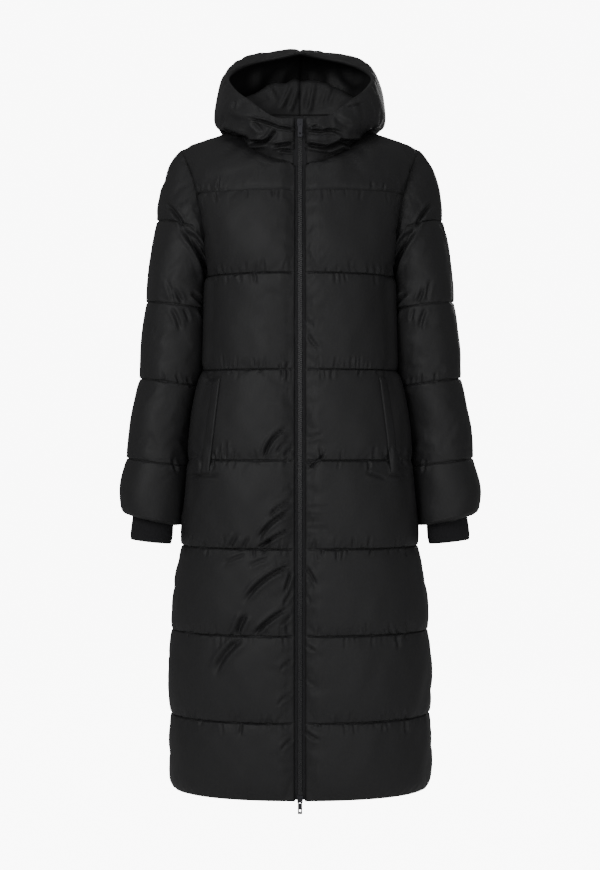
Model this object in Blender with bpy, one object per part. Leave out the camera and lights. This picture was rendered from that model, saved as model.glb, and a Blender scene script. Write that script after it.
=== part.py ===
"""A long hooded puffer coat with a two-way zip, hollow as if worn, in metres.

The front faces -Y and the wearer's left is +X. The origin lies between the shoulders at the neck,
where the wearer holds the coat up. Each sewn piece is a closed wall of padded cloth: a grid of
points on the garment's form, pushed out to the quilted face and in by the thickness of the cloth.
"""

import math
from collections import namedtuple

import bpy
import numpy as np

WALL = 0.003  # the padded cloth where a seam holds it flat
BODY_PUFF = 0.010  # how far a filled channel stands over its seams
SLEEVE_PUFF = 0.009
HOOD_PUFF = 0.008
SEAM_GAP = 0.0004
ROUNDNESS = 2.3  # exponent of the body's superelliptic levels
FRONT_EDGE = 0.0115  # from the centre line to the edge of each front

HEM = -1.166
UNDERARM = -0.283
YOKE = -0.142
SHOULDER_TIP = (0.208, 0.0, -0.057)
NECK_HALF_WIDTH, NECK_FRONT, NECK_BACK = 0.108, 0.106, 0.068
NECK_LOW, NECK_HIGH = -0.095, 0.016  # the neck seam at the centre front and the centre back
ARMHOLE_REACH = 0.062  # how far the armhole reaches forward and back

# Stitched form of the body, level by level.
Level = namedtuple("Level", "height half_width front back")
LEVELS = [
    Level(-1.166, 0.218, 0.152, 0.150),
    Level(-1.036, 0.219, 0.153, 0.150),
    Level(-0.891, 0.217, 0.153, 0.148),
    Level(-0.746, 0.200, 0.150, 0.143),
    Level(-0.598, 0.190, 0.146, 0.136),
    Level(-0.530, 0.184, 0.142, 0.125),
    Level(-0.445, 0.165, 0.138, 0.108),
    Level(-0.370, 0.157, 0.136, 0.105),
    Level(-0.283, 0.159, 0.142, 0.116),
    Level(-0.240, 0.162, 0.143, 0.119),
    Level(-0.142, 0.170, 0.124, 0.118),
    Level(-0.095, 0.180, 0.106, 0.110),
    Level(-0.041, 0.190, 0.1145, 0.095),
    Level(-0.010, 0.190, 0.115, 0.090),
]

# Half the coat's width along the armhole seam, in front and at the back.
Armhole = namedtuple("Armhole", "height front back")
ARMHOLE = [
    Armhole(-0.283, 0.159, 0.159),
    Armhole(-0.243, 0.160, 0.163),
    Armhole(-0.198, 0.165, 0.171),
    Armhole(-0.158, 0.174, 0.180),
    Armhole(-0.114, 0.184, 0.190),
    Armhole(-0.057, 0.208, 0.208),
]

# Stitched form of a sleeve, ring by ring, below the armhole.
Ring = namedtuple("Ring", "height centre_x centre_y half_width half_depth")
SLEEVE = [
    Ring(-0.331, 0.2125, 0.004, 0.0495, 0.070),
    Ring(-0.389, 0.2155, 0.004, 0.0515, 0.069),
    Ring(-0.464, 0.2255, 0.002, 0.0480, 0.067),
    Ring(-0.529, 0.2395, -0.002, 0.0455, 0.064),
    Ring(-0.6025, 0.2475, -0.008, 0.0480, 0.061),
    Ring(-0.660, 0.2545, -0.014, 0.0490, 0.058),
    Ring(-0.695, 0.2560, -0.018, 0.0435, 0.050),
]
SLEEVE_LEAN = 0.14  # radians that a sleeve's rings tilt, outer side up
CAP_SEAM, CAP_SEAM_RISE = -0.196, 0.014  # the first sleeve seam, and how its outer end rises

# Hood sections from the neck seam to the rim, by angle round the neck from the centre front:
# distance from the neck's axis, then height.
Hood = namedtuple("Hood", "angle neck stand ridge fall low pouch back swell crown rim")
HOOD = [
    Hood(0, (0.106, -0.095), (0.107, -0.088), (0.1085, -0.081), (0.110, -0.074), (0.111, -0.068),
         (0.112, -0.060), (0.113, -0.051), (0.114, -0.041), (0.1145, -0.031), (0.115, -0.020)),
    Hood(22, (0.1065, -0.088), (0.108, -0.079), (0.110, -0.072), (0.112, -0.065), (0.1135, -0.059),
         (0.1155, -0.052), (0.1175, -0.043), (0.1185, -0.034), (0.118, -0.026), (0.117, -0.0165)),
    Hood(45, (0.107, -0.069), (0.110, -0.058), (0.1125, -0.050), (0.115, -0.044), (0.119, -0.039),
         (0.1245, -0.033), (0.129, -0.022), (0.130, -0.008), (0.128, 0.006), (0.1235, 0.016)),
    Hood(90, (0.108, -0.018), (0.1125, -0.009), (0.116, -0.001), (0.1195, -0.003), (0.123, -0.008),
         (0.1285, -0.007), (0.133, 0.008), (0.1355, 0.028), (0.135, 0.055), (0.131, 0.075)),
    Hood(135, (0.090, 0.012), (0.101, 0.040), (0.112, 0.050), (0.126, 0.008), (0.138, -0.020),
         (0.154, -0.022), (0.168, 0.010), (0.168, 0.060), (0.148, 0.118), (0.102, 0.112)),
    Hood(158, (0.076, 0.015), (0.086, 0.056), (0.100, 0.071), (0.121, 0.003), (0.140, -0.034),
         (0.167, -0.031), (0.190, 0.018), (0.188, 0.075), (0.154, 0.133), (0.078, 0.120)),
    Hood(180, (0.068, 0.016), (0.078, 0.062), (0.094, 0.076), (0.118, 0.000), (0.140, -0.040),
         (0.172, -0.035), (0.198, 0.020), (0.196, 0.080), (0.155, 0.138), (0.062, 0.123)),
]

# Heights of the stitched seams of the body, and how a channel fills from its lower seam to its upper.
BODY_SEAMS = [HEM, -1.036, -0.891, -0.746, -0.598, -0.445, UNDERARM, YOKE]
CHANNEL = [(0.0, 0.0), (0.18, 0.95), (0.78, 0.80)]  # share of the channel, share of the puff
CHEST_CHANNEL = [(0.0, 0.0), (0.2, 0.9), (0.5, 1.0), (0.8, 0.75)]
YOKE_CHANNEL = [(0.0, 0.0), (0.16, 0.85), (0.34, 1.0), (0.52, 1.0), (0.7, 0.85), (0.86, 0.6), (1.0, 0.0)]
FRONT_COLUMNS = [(0.0, 0.0), (0.07, 0.9), (0.2, 1.0), (0.35, 1.0), (0.5, 1.0), (0.65, 1.0), (0.8, 0.95),
                 (0.93, 0.7), (1.0, 0.0)]
BACK_COLUMNS = [(0.0, 1.0), (0.13, 1.0), (0.27, 1.0), (0.41, 1.0), (0.55, 1.0), (0.7, 1.0), (0.83, 0.95),
                (0.94, 0.7), (1.0, 0.0)]

ZIP_TOP, ZIP_BOTTOM = -0.0225, -1.1635
TAPE_INNER, TAPE_OUTER, TAPE_THICK = 0.0036, 0.0111, 0.0015
CHAIN_HALF_WIDTH, CHAIN_THICK = 0.0032, 0.003
CHAIN_TOP, CHAIN_BOTTOM = -0.0355, -1.1535
TOP_SLIDER, BOTTOM_SLIDER = -0.0280, -1.1615  # heights of the sliders' centres
SLIDER_WIDTH, SLIDER_LENGTH = 0.0095, 0.012
SLIDER_CLEARANCE = 0.0006
FACE_PLATE, BACK_PLATE, SLIDER_WEB = 0.0024, 0.0012, 0.0024
BRIDGE_WIDTH, BRIDGE_LENGTH, BRIDGE_RISE, BRIDGE_THICK = 0.0024, 0.0084, 0.0034, 0.0011
PULL_WIDTH, PULL_LENGTH, PULL_THICK = 0.0076, 0.0245, 0.0013
PULL_BAR = 0.0008  # how far the tab reaches above its hinge
HINGE_DEPTH = 0.0012  # the hinge's distance in front of the slider's face
PULL_WINDOW = (0.0040, 0.0008, 0.0064)  # width, then the start and the end below the hinge
PULL_HOLE = (0.0030, 0.0170, 0.0205)

WELT_TOP, WELT_BOTTOM = -0.458, -0.621
WELT_TOP_X, WELT_BOTTOM_X = 0.134, 0.153  # where the welt's front edge starts and ends
WELT_WIDTH, WELT_THICK, WELT_LIFT = 0.022, 0.004, 0.0011

SHELL = ("puffer_shell", (0.030, 0.030, 0.031), 0.42, 0.0)
RIB = ("rib_knit", (0.012, 0.012, 0.012), 0.90, 0.0)
TAPE = ("zip_tape", (0.010, 0.010, 0.011), 0.80, 0.0)
TEETH = ("zip_teeth", (0.035, 0.035, 0.036), 0.35, 0.0)
METAL = ("zip_metal", (0.060, 0.060, 0.062), 0.32, 0.9)


def clear_scene():
    for thing in list(bpy.data.objects):
        bpy.data.objects.remove(thing, do_unlink=True)


def smooth(at, places, values):
    """A curve through values at rising places, each slope taken from the neighbours on both sides."""
    places, values = np.asarray(places, float), np.asarray(values, float)
    slopes = np.gradient(values, places, axis=0)
    at = np.clip(np.asarray(at, float), places[0], places[-1])
    low = np.clip(np.searchsorted(places, at, side="right") - 1, 0, len(places) - 2)
    span = places[low + 1] - places[low]
    share = (at - places[low]) / span
    if values.ndim > 1:
        span, share = span[..., None], share[..., None]
    return (
        (2 * share**3 - 3 * share**2 + 1) * values[low]
        + (share**3 - 2 * share**2 + share) * span * slopes[low]
        + (3 * share**2 - 2 * share**3) * values[low + 1]
        + (share**3 - share**2) * span * slopes[low + 1]
    )


def unit(vectors):
    return vectors / np.linalg.norm(vectors, axis=-1, keepdims=True)


def resample(points, shares):
    """Points at shares of the length of a dense line."""
    steps = np.linalg.norm(np.diff(points, axis=0), axis=1)
    along = np.concatenate([[0], np.cumsum(steps)]) / steps.sum()
    return np.stack([np.interp(shares, along, points[:, axis]) for axis in range(3)], axis=1)


def column(table, name):
    return [getattr(row, name) for row in table]


def level(height, name):
    return smooth(height, column(LEVELS, "height"), column(LEVELS, name))


def side_edge(height, facing):
    """Where a level of the body ends: the side seam, or the armhole above the underarm."""
    if height <= UNDERARM:
        return np.array([level(height, "half_width"), 0.0, height])
    rise = (height - UNDERARM) / (SHOULDER_TIP[2] - UNDERARM)
    reach = ARMHOLE_REACH * max(math.sin(math.pi * min(rise, 1.0) ** 0.8), 0.0) ** 0.75
    width = smooth(height, column(ARMHOLE, "height"), column(ARMHOLE, "front" if facing < 0 else "back"))
    return np.array([width, facing * reach, height])


def level_row(height, facing, shares):
    """One level of the coat, from its centre line round to its side edge, at shares of its length."""
    depth = level(height, "front" if facing < 0 else "back")
    edge = side_edge(height, facing)
    half_width = edge[0] / (1 - (abs(edge[1]) / depth) ** ROUNDNESS) ** (1 / ROUNDNESS)
    start = FRONT_EDGE if facing < 0 else 0.0
    ends = [math.asin(min((x / half_width) ** (ROUNDNESS / 2), 1.0)) for x in (start, edge[0])]
    turn = np.linspace(ends[0], ends[1], 240)
    power = 2 / ROUNDNESS
    across = half_width * np.sin(turn) ** power
    out = facing * depth * np.abs(np.cos(turn)) ** power
    return resample(np.stack([across, out, np.full_like(turn, height)], axis=1), shares)


def neck_point(angle):
    """The neck seam, at an angle round from the centre front."""
    depth = NECK_FRONT if angle < math.pi / 2 else NECK_BACK
    drop = ((1 + math.cos(angle)) / 2) ** 1.7
    return np.array([
        NECK_HALF_WIDTH * math.sin(angle),
        -depth * math.cos(angle),
        NECK_HIGH + (NECK_LOW - NECK_HIGH) * drop,
    ])


FIRST_ANGLE = math.asin(FRONT_EDGE / NECK_HALF_WIDTH)
FRONT_NECK = [neck_point(a) for a in np.linspace(FIRST_ANGLE, math.pi / 2, 6)]
BACK_NECK = [neck_point(a) for a in np.linspace(math.pi, math.pi / 2, 5)]
YOKE_ROWS = len(YOKE_CHANNEL)


def coons(bottom, top, left, right, across, up):
    """A surface between four edge lines: both ruled surfaces, less the one between the corners."""
    u, v = np.asarray(across)[None, :, None], np.asarray(up)[:, None, None]
    ruled_up = (1 - v) * bottom[None] + v * top[None]
    ruled_across = (1 - u) * left[:, None] + u * right[:, None]
    corners = ((1 - u) * (1 - v) * bottom[0] + u * (1 - v) * bottom[-1] + (1 - u) * v * top[0] + u * v * top[-1])
    return ruled_up + ruled_across - corners


def body_rows():
    """Heights of the rows up to the yoke seam, each with its share of the puff."""
    rows = []
    for low, high in zip(BODY_SEAMS, BODY_SEAMS[1:]):
        fill = CHEST_CHANNEL if high == YOKE else CHANNEL
        rows += [(low + share * (high - low), swell) for share, swell in fill]
    return rows + [(YOKE, 0.0)]


def armhole_heights():
    return np.linspace(YOKE, SHOULDER_TIP[2], YOKE_ROWS)


def half_form(facing, columns):
    """Half of the coat's body on one side, front or back, from the hem to the neck and shoulder."""
    shares = [share for share, _ in columns]
    lower = np.array([level_row(height, facing, shares) for height, _ in body_rows()])
    up = np.linspace(0, 1, YOKE_ROWS)
    right = np.array([side_edge(height, facing) for height in armhole_heights()])
    right[0], right[-1] = lower[-1, -1], SHOULDER_TIP
    tip = np.array(SHOULDER_TIP)
    if facing < 0:
        left = np.array([lower[-1, 0]] + FRONT_NECK)
        top = np.array([left[-1] + (tip - left[-1]) * share for share in shares])
    else:
        left = np.array([lower[-1, 0] + (BACK_NECK[0] - lower[-1, 0]) * share for share in up])
        seam = [BACK_NECK[-1] + (tip - BACK_NECK[-1]) * share for share in (0.25, 0.5, 0.75, 1.0)]
        top = np.array(BACK_NECK + seam)
    yoke = coons(lower[-1], top, left, right, shares, up)
    return np.concatenate([lower, yoke[1:]])


def normals(grid, closed=False):
    """Directions square to a grid whose rows run upwards, facing out where columns run forward to back."""
    if closed:
        wrapped = np.concatenate([grid[:, -1:], grid, grid[:, :1]], axis=1)
        across = np.gradient(wrapped, axis=1)[:, 1:-1]
    else:
        across = np.gradient(grid, axis=1)
    return unit(np.cross(across, np.gradient(grid, axis=0)))


def armhole_direction(point):
    """Leaning outwards across the armhole seam, the same for the body's edge and the sleeve's."""
    middle = np.array([0.0, 0.0, (UNDERARM + SHOULDER_TIP[2]) / 2])
    radial = unit((point - middle) * (0, 1, 1) + (0, 0, 1e-9))
    return unit(radial + (0.7, 0, 0))


def neck_direction(angle):
    return unit(np.array([math.sin(angle), -math.cos(angle), 0.5]))


def body_directions(grid, facing):
    """Outward directions of half of the body, with those along its seams shared with its neighbours."""
    out = normals(grid) * -facing
    under = len(body_rows()) - len(CHEST_CHANNEL) - 1
    out[:, 0] = unit(out[:, 0] * (0, 1, 1))
    out[: under + 1, -1] = (1, 0, 0)
    for row in range(under, len(grid)):
        out[row, -1] = armhole_direction(grid[row, -1])
    out[-1, :-1] = unit(np.array([math.sin(0.37), 0, math.cos(0.37)]))
    if facing < 0:
        for row, angle in enumerate(np.linspace(FIRST_ANGLE, math.pi / 2, len(FRONT_NECK))):
            out[row - len(FRONT_NECK), 0] = neck_direction(angle)
        out[-len(FRONT_NECK), 0] = neck_direction(0)
    else:
        for place, angle in enumerate(np.linspace(math.pi, math.pi / 2, len(BACK_NECK))):
            out[-1, place] = neck_direction(angle)
    return out


def yoke_fill(columns, facing):
    """Shares of the puff over the yoke, nothing along its neck and shoulder seams."""
    up = np.array([swell for _, swell in YOKE_CHANNEL])[1:]
    across = np.array([swell for _, swell in columns])
    fill = up[:, None] * across[None]
    if facing < 0:
        fill[:, 1] *= 0.8
    return fill


def quilted_half(facing, columns):
    """The form, outer face and directions of half of the body, front or back."""
    form = half_form(facing, columns)
    out = body_directions(form, facing)
    swell = np.array([swell for _, swell in body_rows()])
    across = np.array([swell for _, swell in columns])
    fill = np.concatenate([swell[:, None] * across[None], yoke_fill(columns, facing)])
    fill[:3, :] *= np.linspace(0.6, 1.0, 3)[:, None]
    under = len(body_rows()) - len(CHEST_CHANNEL) - 1
    beside_sleeve = slice(under - 3, under + 3)
    fill[beside_sleeve, -2] *= 0.45
    fill[beside_sleeve, -3] *= 0.8
    shifted = form.copy()
    seam = np.abs(form[:, -1, 1]) < 1e-6
    shifted[seam, -1, 1] = facing * SEAM_GAP / 2
    shifted[-1, :, 1] = np.where(np.abs(form[-1, :, 1]) < 1e-6, facing * SEAM_GAP / 2, form[-1, :, 1])
    return shifted, shifted + out * (fill * BODY_PUFF)[..., None], out


def mirrored(grid):
    return grid * (-1, 1, 1)


def material(name, colour, roughness, metallic):
    made = bpy.data.materials.new(name)
    made.use_nodes = True
    shader = made.node_tree.nodes["Principled BSDF"]
    shader.inputs["Base Color"].default_value = (*colour, 1)
    shader.inputs["Roughness"].default_value = roughness
    shader.inputs["Metallic"].default_value = metallic
    return made


def solid(name, points, faces, look, sharp=None):
    """An object whose faces are turned to point outwards."""
    points = np.asarray(points, float)
    volume = 0.0
    for face in faces:
        for second, third in zip(face[1:], face[2:]):
            volume += np.dot(points[face[0]], np.cross(points[second], points[third]))
    if volume < 0:
        faces = [face[::-1] for face in faces]
    mesh = bpy.data.meshes.new(name)
    mesh.from_pydata(points.tolist(), [], [list(map(int, face)) for face in faces])
    mesh.materials.append(material(f"{name}_{look[0]}", *look[1:]))
    if sharp:
        mesh.shade_smooth()
        mesh.set_sharp_from_angle(angle=sharp)
    made = bpy.data.objects.new(name, mesh)
    bpy.context.scene.collection.objects.link(made)
    return made


def wall(name, outer, inner, look, closed=False):
    """A closed solid between two grids of matching points, which runs right round if closed."""
    rows, columns = outer.shape[:2]
    start = rows * columns
    laps = columns if closed else columns - 1
    faces = []
    for row in range(rows - 1):
        for place in range(laps):
            after = (place + 1) % columns
            face = [row * columns + place, row * columns + after, (row + 1) * columns + after,
                    (row + 1) * columns + place]
            faces.append(face)
            faces.append([start + index for index in reversed(face)])
    edge = [(place, (place + 1) % columns) for place in range(laps)]
    rims = [(b, a) for a, b in edge] + [((rows - 1) * columns + a, (rows - 1) * columns + b) for a, b in edge]
    if not closed:
        rims += [(row * columns, (row + 1) * columns) for row in range(rows - 1)]
        rims += [((row + 2) * columns - 1, (row + 1) * columns - 1) for row in range(rows - 1)]
    faces += [[a, b, start + b, start + a] for a, b in rims]
    points = np.concatenate([outer.reshape(-1, 3), inner.reshape(-1, 3)])
    return solid(name, points, faces, look, sharp=math.radians(50))


def make_body():
    form, outer, out = quilted_half(-1, FRONT_COLUMNS)
    inner = form - out * WALL
    wall("front_left", outer, inner, SHELL)
    wall("front_right", mirrored(outer), mirrored(inner), SHELL)
    form, outer, out = quilted_half(1, BACK_COLUMNS)
    inner = form - out * WALL
    whole = [np.concatenate([mirrored(side[:, :0:-1]), side], axis=1) for side in (outer, inner)]
    wall("back", whole[0], whole[1], SHELL)


def armhole_loop():
    """The armhole's points, from the underarm up the front, over the tip and down the back."""
    rows = np.array([height for height, _ in body_rows() if height >= UNDERARM - 1e-6])
    heights = np.concatenate([rows, armhole_heights()[1:]])
    front = [side_edge(height, -1) for height in heights[1:-1]]
    back = [side_edge(height, 1) for height in heights[1:-1]]
    return np.array([side_edge(UNDERARM, -1)] + front + [np.array(SHOULDER_TIP)] + back[::-1])


def loop_angles(loop):
    """An angle for each armhole point, half a turn for its front and half for its back."""
    steps = np.linalg.norm(np.roll(loop, -1, axis=0) - loop, axis=1)
    half = len(loop) // 2
    front = np.concatenate([[0], np.cumsum(steps[:half])]) / steps[:half].sum()
    back = np.concatenate([[0], np.cumsum(steps[half:])]) / steps[half:].sum()
    return np.concatenate([math.pi * front[:-1], math.pi * (1 + back[:-1])])


def sleeve_ring(height, angles, grow=0.0):
    """A ring of the sleeve's form, which starts at the underarm side and runs round by the front."""
    heights = column(SLEEVE, "height")[::-1]
    sizes = [smooth(height, heights, column(SLEEVE, name)[::-1]) for name in Ring._fields[1:]]
    centre = np.array([sizes[0], sizes[1], height])
    outward = np.array([math.cos(SLEEVE_LEAN), 0, math.sin(SLEEVE_LEAN)])
    across = -np.cos(angles)[:, None] * outward * (sizes[2] + grow)
    forward = -np.sin(angles)[:, None] * np.array([0, 1, 0]) * (sizes[3] + grow)
    return centre + across + forward


def sleeve_cap(loop, angles, shares):
    """The sleeve's form from the armhole out and down to its second seam, one row for each share."""
    end = sleeve_ring(SLEEVE[0].height, angles)
    chord = np.linalg.norm(end - loop, axis=1)[:, None]
    drop = 0.875 - 0.825 * np.cos(angles)
    reach = (0.875 + 0.125 * np.cos(angles))[:, None]
    leaving = unit(np.stack([np.ones_like(drop), 0 * drop, -drop], axis=1)) * chord * reach
    arriving = np.array([math.sin(SLEEVE_LEAN), 0, -math.cos(SLEEVE_LEAN)]) * chord * 1.2
    t = np.asarray(shares)[..., None]
    return (
        (2 * t**3 - 3 * t**2 + 1) * loop
        + (t**3 - 2 * t**2 + t) * leaving
        + (3 * t**2 - 2 * t**3) * end
        + (t**3 - t**2) * arriving
    )


def cap_seam_shares(loop, angles):
    """How far down each column of the cap its first seam lies, and how much of the seam is there."""
    dense = np.linspace(0, 1, 101)
    heights = sleeve_cap(loop, angles, np.repeat(dense[:, None], len(angles), axis=1))[..., 2]
    seam = CAP_SEAM - CAP_SEAM_RISE * np.cos(angles)
    shares = np.array([np.interp(-seam[i], -heights[:, i], dense) for i in range(len(angles))])
    present = np.clip((loop[:, 2] - seam) / 0.03, 0, 1)
    return np.maximum(shares, 0.16), present


def make_sleeves():
    loop = armhole_loop()
    angles = loop_angles(loop)
    seam, present = cap_seam_shares(loop, angles)
    inner_side = 0.6 + 0.4 * np.clip(-np.cos(angles) * 1.6 + 0.2, -1, 1)
    forms, fills = [], []
    for share, swell in [(0.0, 0.0), (0.25, 0.6), (0.5, 0.9), (0.8, 0.8), (1.0, 0.0)]:
        forms.append(sleeve_cap(loop, angles, share * seam))
        fills.append(swell * inner_side if share < 1 else (1 - present) * 0.7 * inner_side)
    for share, swell in [(0.2, 0.8), (0.75, 0.95), (1.0, 0.0)]:
        forms.append(sleeve_cap(loop, angles, seam + share * (1 - seam)))
        fills.append(swell * inner_side)
    seams = [SLEEVE[0].height, -0.464, -0.6025, -0.6975]
    for top, bottom in zip(seams, seams[1:]):
        for share, swell in [(0.2, 0.8), (0.8, 1.0), (1.0, 0.0)]:
            forms.append(sleeve_ring(top + share * (bottom - top), angles))
            fills.append(swell * inner_side)
    forms[-1] = sleeve_ring(-0.6950, angles)
    fills[-1] = 0.5 * inner_side
    tuck = cuff_ring(CUFF_TOP + 0.0035, angles, SEAM_GAP)
    forms.append(tuck)
    fills.append(0 * angles)
    form = np.array(forms)
    out = -normals(form, closed=True)
    out[0] = [armhole_direction(point) for point in loop]
    out[-1] = (0, 0, -1)
    form[0] = form[0] + (SEAM_GAP, 0, 0)
    outer = form + out * (np.array(fills) * SLEEVE_PUFF)[..., None]
    inner = form - out * WALL
    wall("sleeve_left", outer, inner, SHELL, closed=True)
    wall("sleeve_right", mirrored(outer), mirrored(inner), SHELL, closed=True)


CUFF_TOP, CUFF_BOTTOM = -0.7000, -0.7460
CUFF_WALL = 0.0025
Cuff = namedtuple("Cuff", "height centre_x half_width half_depth")
CUFFS = [
    Cuff(-0.7460, 0.2580, 0.0350, 0.0330),
    Cuff(-0.7400, 0.2578, 0.0362, 0.0345),
    Cuff(-0.7200, 0.2574, 0.0360, 0.0345),
    Cuff(-0.6950, 0.2568, 0.0352, 0.0340),
]


def cuff_ring(height, angles, grow=0.0):
    sizes = [smooth(height, column(CUFFS, "height"), column(CUFFS, name)) for name in Cuff._fields[1:]]
    return np.stack([
        sizes[0] - np.cos(angles) * (sizes[1] + grow),
        -0.018 - np.sin(angles) * (sizes[2] + grow),
        np.full_like(angles, height),
    ], axis=1)


def make_cuffs():
    angles = loop_angles(armhole_loop())
    heights = [-0.6960, -0.7080, -0.7230, -0.7380, -0.7440, -0.7460]
    outer = np.array([cuff_ring(height, angles) for height in heights])
    inner = np.array([cuff_ring(height, angles, -CUFF_WALL) for height in heights])
    wall("cuff_left", outer, inner, RIB, closed=True)
    wall("cuff_right", mirrored(outer), mirrored(inner), RIB, closed=True)


def hood_form(shares):
    """The hood's left half from the neck seam to the rim, one column for each angle round the neck."""
    angles = list(np.linspace(FIRST_ANGLE, math.pi / 2, len(FRONT_NECK)))
    angles += list(np.linspace(math.pi / 2, math.pi, len(BACK_NECK)))[1:]
    around_it = [HOOD[1]._replace(angle=-HOOD[1].angle), *HOOD, HOOD[-2]._replace(angle=360 - HOOD[-2].angle)]
    stations = np.array([row[1:] for row in around_it])
    knots = [row.angle for row in around_it]
    columns = []
    for angle in angles:
        profile = smooth(math.degrees(angle), knots, stations)
        line = smooth(np.linspace(0, 9, 181), np.arange(10), profile)
        around = np.stack([line[:, 0] * math.sin(angle), -line[:, 0] * math.cos(angle), line[:, 1]], axis=1)
        miss = neck_point(angle) - around[0]
        around += miss * np.linspace(1, 0, 181)[:, None] ** 3
        columns.append(resample(around, shares))
    form = np.stack(columns, axis=1)
    form[:, 0, 0] = FRONT_EDGE
    form[:, -1, 0] = 0.0
    return form, angles


HOOD_ROWS = [(0.0, 0.0), (0.08, 0.7), (0.17, 0.9), (0.26, 0.7), (0.33, 0.0), (0.40, 0.8), (0.49, 1.0), (0.58, 1.0),
             (0.66, 0.8), (0.72, 0.0), (0.79, 0.8), (0.88, 1.0), (0.95, 0.8), (1.0, 0.0)]


def make_hood():
    form, angles = hood_form([share for share, _ in HOOD_ROWS])
    out = normals(form)
    out[:, 0] = unit(out[:, 0] * (0, 1, 1))
    out[:, -1] = unit(out[:, -1] * (0, 1, 1))
    out[0] = [neck_direction(angle) for angle in angles]
    out[0, 0] = neck_direction(0)
    fill = np.array([swell for _, swell in HOOD_ROWS])[:, None] * np.ones(len(angles))
    fill[:, 0] = 0
    fill[:, -1] = 0
    fill[:, 1] *= 0.8
    form[0] = form[0] + (0, 0, SEAM_GAP)
    form[:, -1, 0] = SEAM_GAP / 2
    outer = form + out * (fill * HOOD_PUFF)[..., None]
    inner = form - out * WALL
    wall("hood_left", outer, inner, SHELL)
    wall("hood_right", mirrored(outer), mirrored(inner), SHELL)


def strip(name, left, right, top, bottom, front, thick, look):
    """An upright band that follows the fronts' edge line, from x = left to x = right."""
    heights = [top] + [h for h in np.arange(-0.05, -1.15, -0.05) if bottom < h < top] + [bottom]
    face = np.array([[(x, front - level(height, "front"), height) for x in (left, right)] for height in heights])
    return wall(name, face, face + (0, thick, 0), look)


def make_zip():
    strip("zip_tape_left", TAPE_INNER, TAPE_OUTER, ZIP_TOP, ZIP_BOTTOM, 0.0005, TAPE_THICK, TAPE)
    strip("zip_tape_right", -TAPE_OUTER, -TAPE_INNER, ZIP_TOP, ZIP_BOTTOM, 0.0005, TAPE_THICK, TAPE)
    strip("zip_chain", -CHAIN_HALF_WIDTH, CHAIN_HALF_WIDTH, CHAIN_TOP, CHAIN_BOTTOM, -0.0008, CHAIN_THICK, TEETH)


def prism(name, outline, axis, low, high, look):
    """A flat outline of (first, second) pairs, drawn out along an axis from low to high."""
    order = {"x": (2, 0, 1), "y": (0, 2, 1), "z": (0, 1, 2)}[axis]
    ends = [np.array([[a, b, reach] for a, b in outline])[:, order] for reach in (low, high)]
    count = len(outline)
    faces = [list(range(count)), list(range(2 * count - 1, count - 1, -1))]
    faces += [[(i + 1) % count, i, count + i, count + (i + 1) % count] for i in range(count)]
    return solid(name, np.concatenate(ends), faces, look)


def join(base, added, operation="UNION"):
    """A Boolean on the base, with the other object kept only as its tool."""
    change = base.modifiers.new(added.name, "BOOLEAN")
    change.operation = operation
    change.object = added
    added.hide_render = True
    added.display_type = "WIRE"


def front_plane(height):
    """Where the front face of the zip's teeth lies."""
    return -level(height, "front") - 0.0008


def make_slider(name, height):
    """Two plates joined by a web, with a bridge on the front for the pull's ring."""
    face = front_plane(height) - SLIDER_CLEARANCE
    back = face + SLIDER_CLEARANCE + CHAIN_THICK + SLIDER_CLEARANCE
    half, web = SLIDER_WIDTH / 2, SLIDER_WEB / 2
    outline = [
        (-half, face - FACE_PLATE), (half, face - FACE_PLATE), (half, face), (web, face), (web, back),
        (half, back), (half, back + BACK_PLATE), (-half, back + BACK_PLATE), (-half, back), (-web, back),
        (-web, face), (-half, face),
    ]
    plates = prism(name, outline, "z", height - SLIDER_LENGTH / 2, height + SLIDER_LENGTH / 2, METAL)
    foot = face - FACE_PLATE + 0.0008
    top = face - FACE_PLATE - BRIDGE_RISE
    end = BRIDGE_LENGTH / 2
    arch = [
        (foot, height - end), (top + 0.0008, height - end), (top, height - end + 0.0010),
        (top, height + end - 0.0010), (top + 0.0008, height + end), (foot, height + end),
        (foot, height + end - BRIDGE_THICK), (top + BRIDGE_THICK, height + end - BRIDGE_THICK),
        (top + BRIDGE_THICK, height - end + BRIDGE_THICK), (foot, height - end + BRIDGE_THICK),
    ]
    bridge = prism(f"{name}_bridge", arch, "x", -BRIDGE_WIDTH / 2, BRIDGE_WIDTH / 2, METAL)
    join(plates, bridge)
    return face - FACE_PLATE


def rounded(half_width, top, bottom, radius, corner_steps=3):
    """An upright rectangle with rounded corners, as (x, z) pairs."""
    turn = np.linspace(0, math.pi / 2, corner_steps + 1)
    corners = [(half_width, top, 0), (-half_width, top, 1), (-half_width, bottom, 2), (half_width, bottom, 3)]
    outline = []
    for x, z, quarter in corners:
        middle = (x - math.copysign(radius, x), z - radius if quarter < 2 else z + radius)
        angles = turn + quarter * math.pi / 2
        outline += [(middle[0] + radius * math.cos(a), middle[1] + radius * math.sin(a)) for a in angles]
    return outline


def make_pull(name, height, plate_face):
    """A flat tab hung from a bar under the slider's bridge, with a window that clears the bridge."""
    hinge = plate_face - HINGE_DEPTH
    near, far = -PULL_THICK / 2, PULL_THICK / 2
    tab = prism(name, rounded(PULL_WIDTH / 2, PULL_BAR, -PULL_LENGTH, PULL_BAR), "y", near, far, METAL)
    for place, (width, start, end) in enumerate([PULL_WINDOW, PULL_HOLE]):
        hole = prism(f"{name}_hole_{place}", rounded(width / 2, -start, -end, 0.0006), "y", near - 0.001,
                     far + 0.001, METAL)
        hole.parent = tab
        join(tab, hole, "DIFFERENCE")
    tab.location = (0, hinge, height)
    return tab


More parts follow.
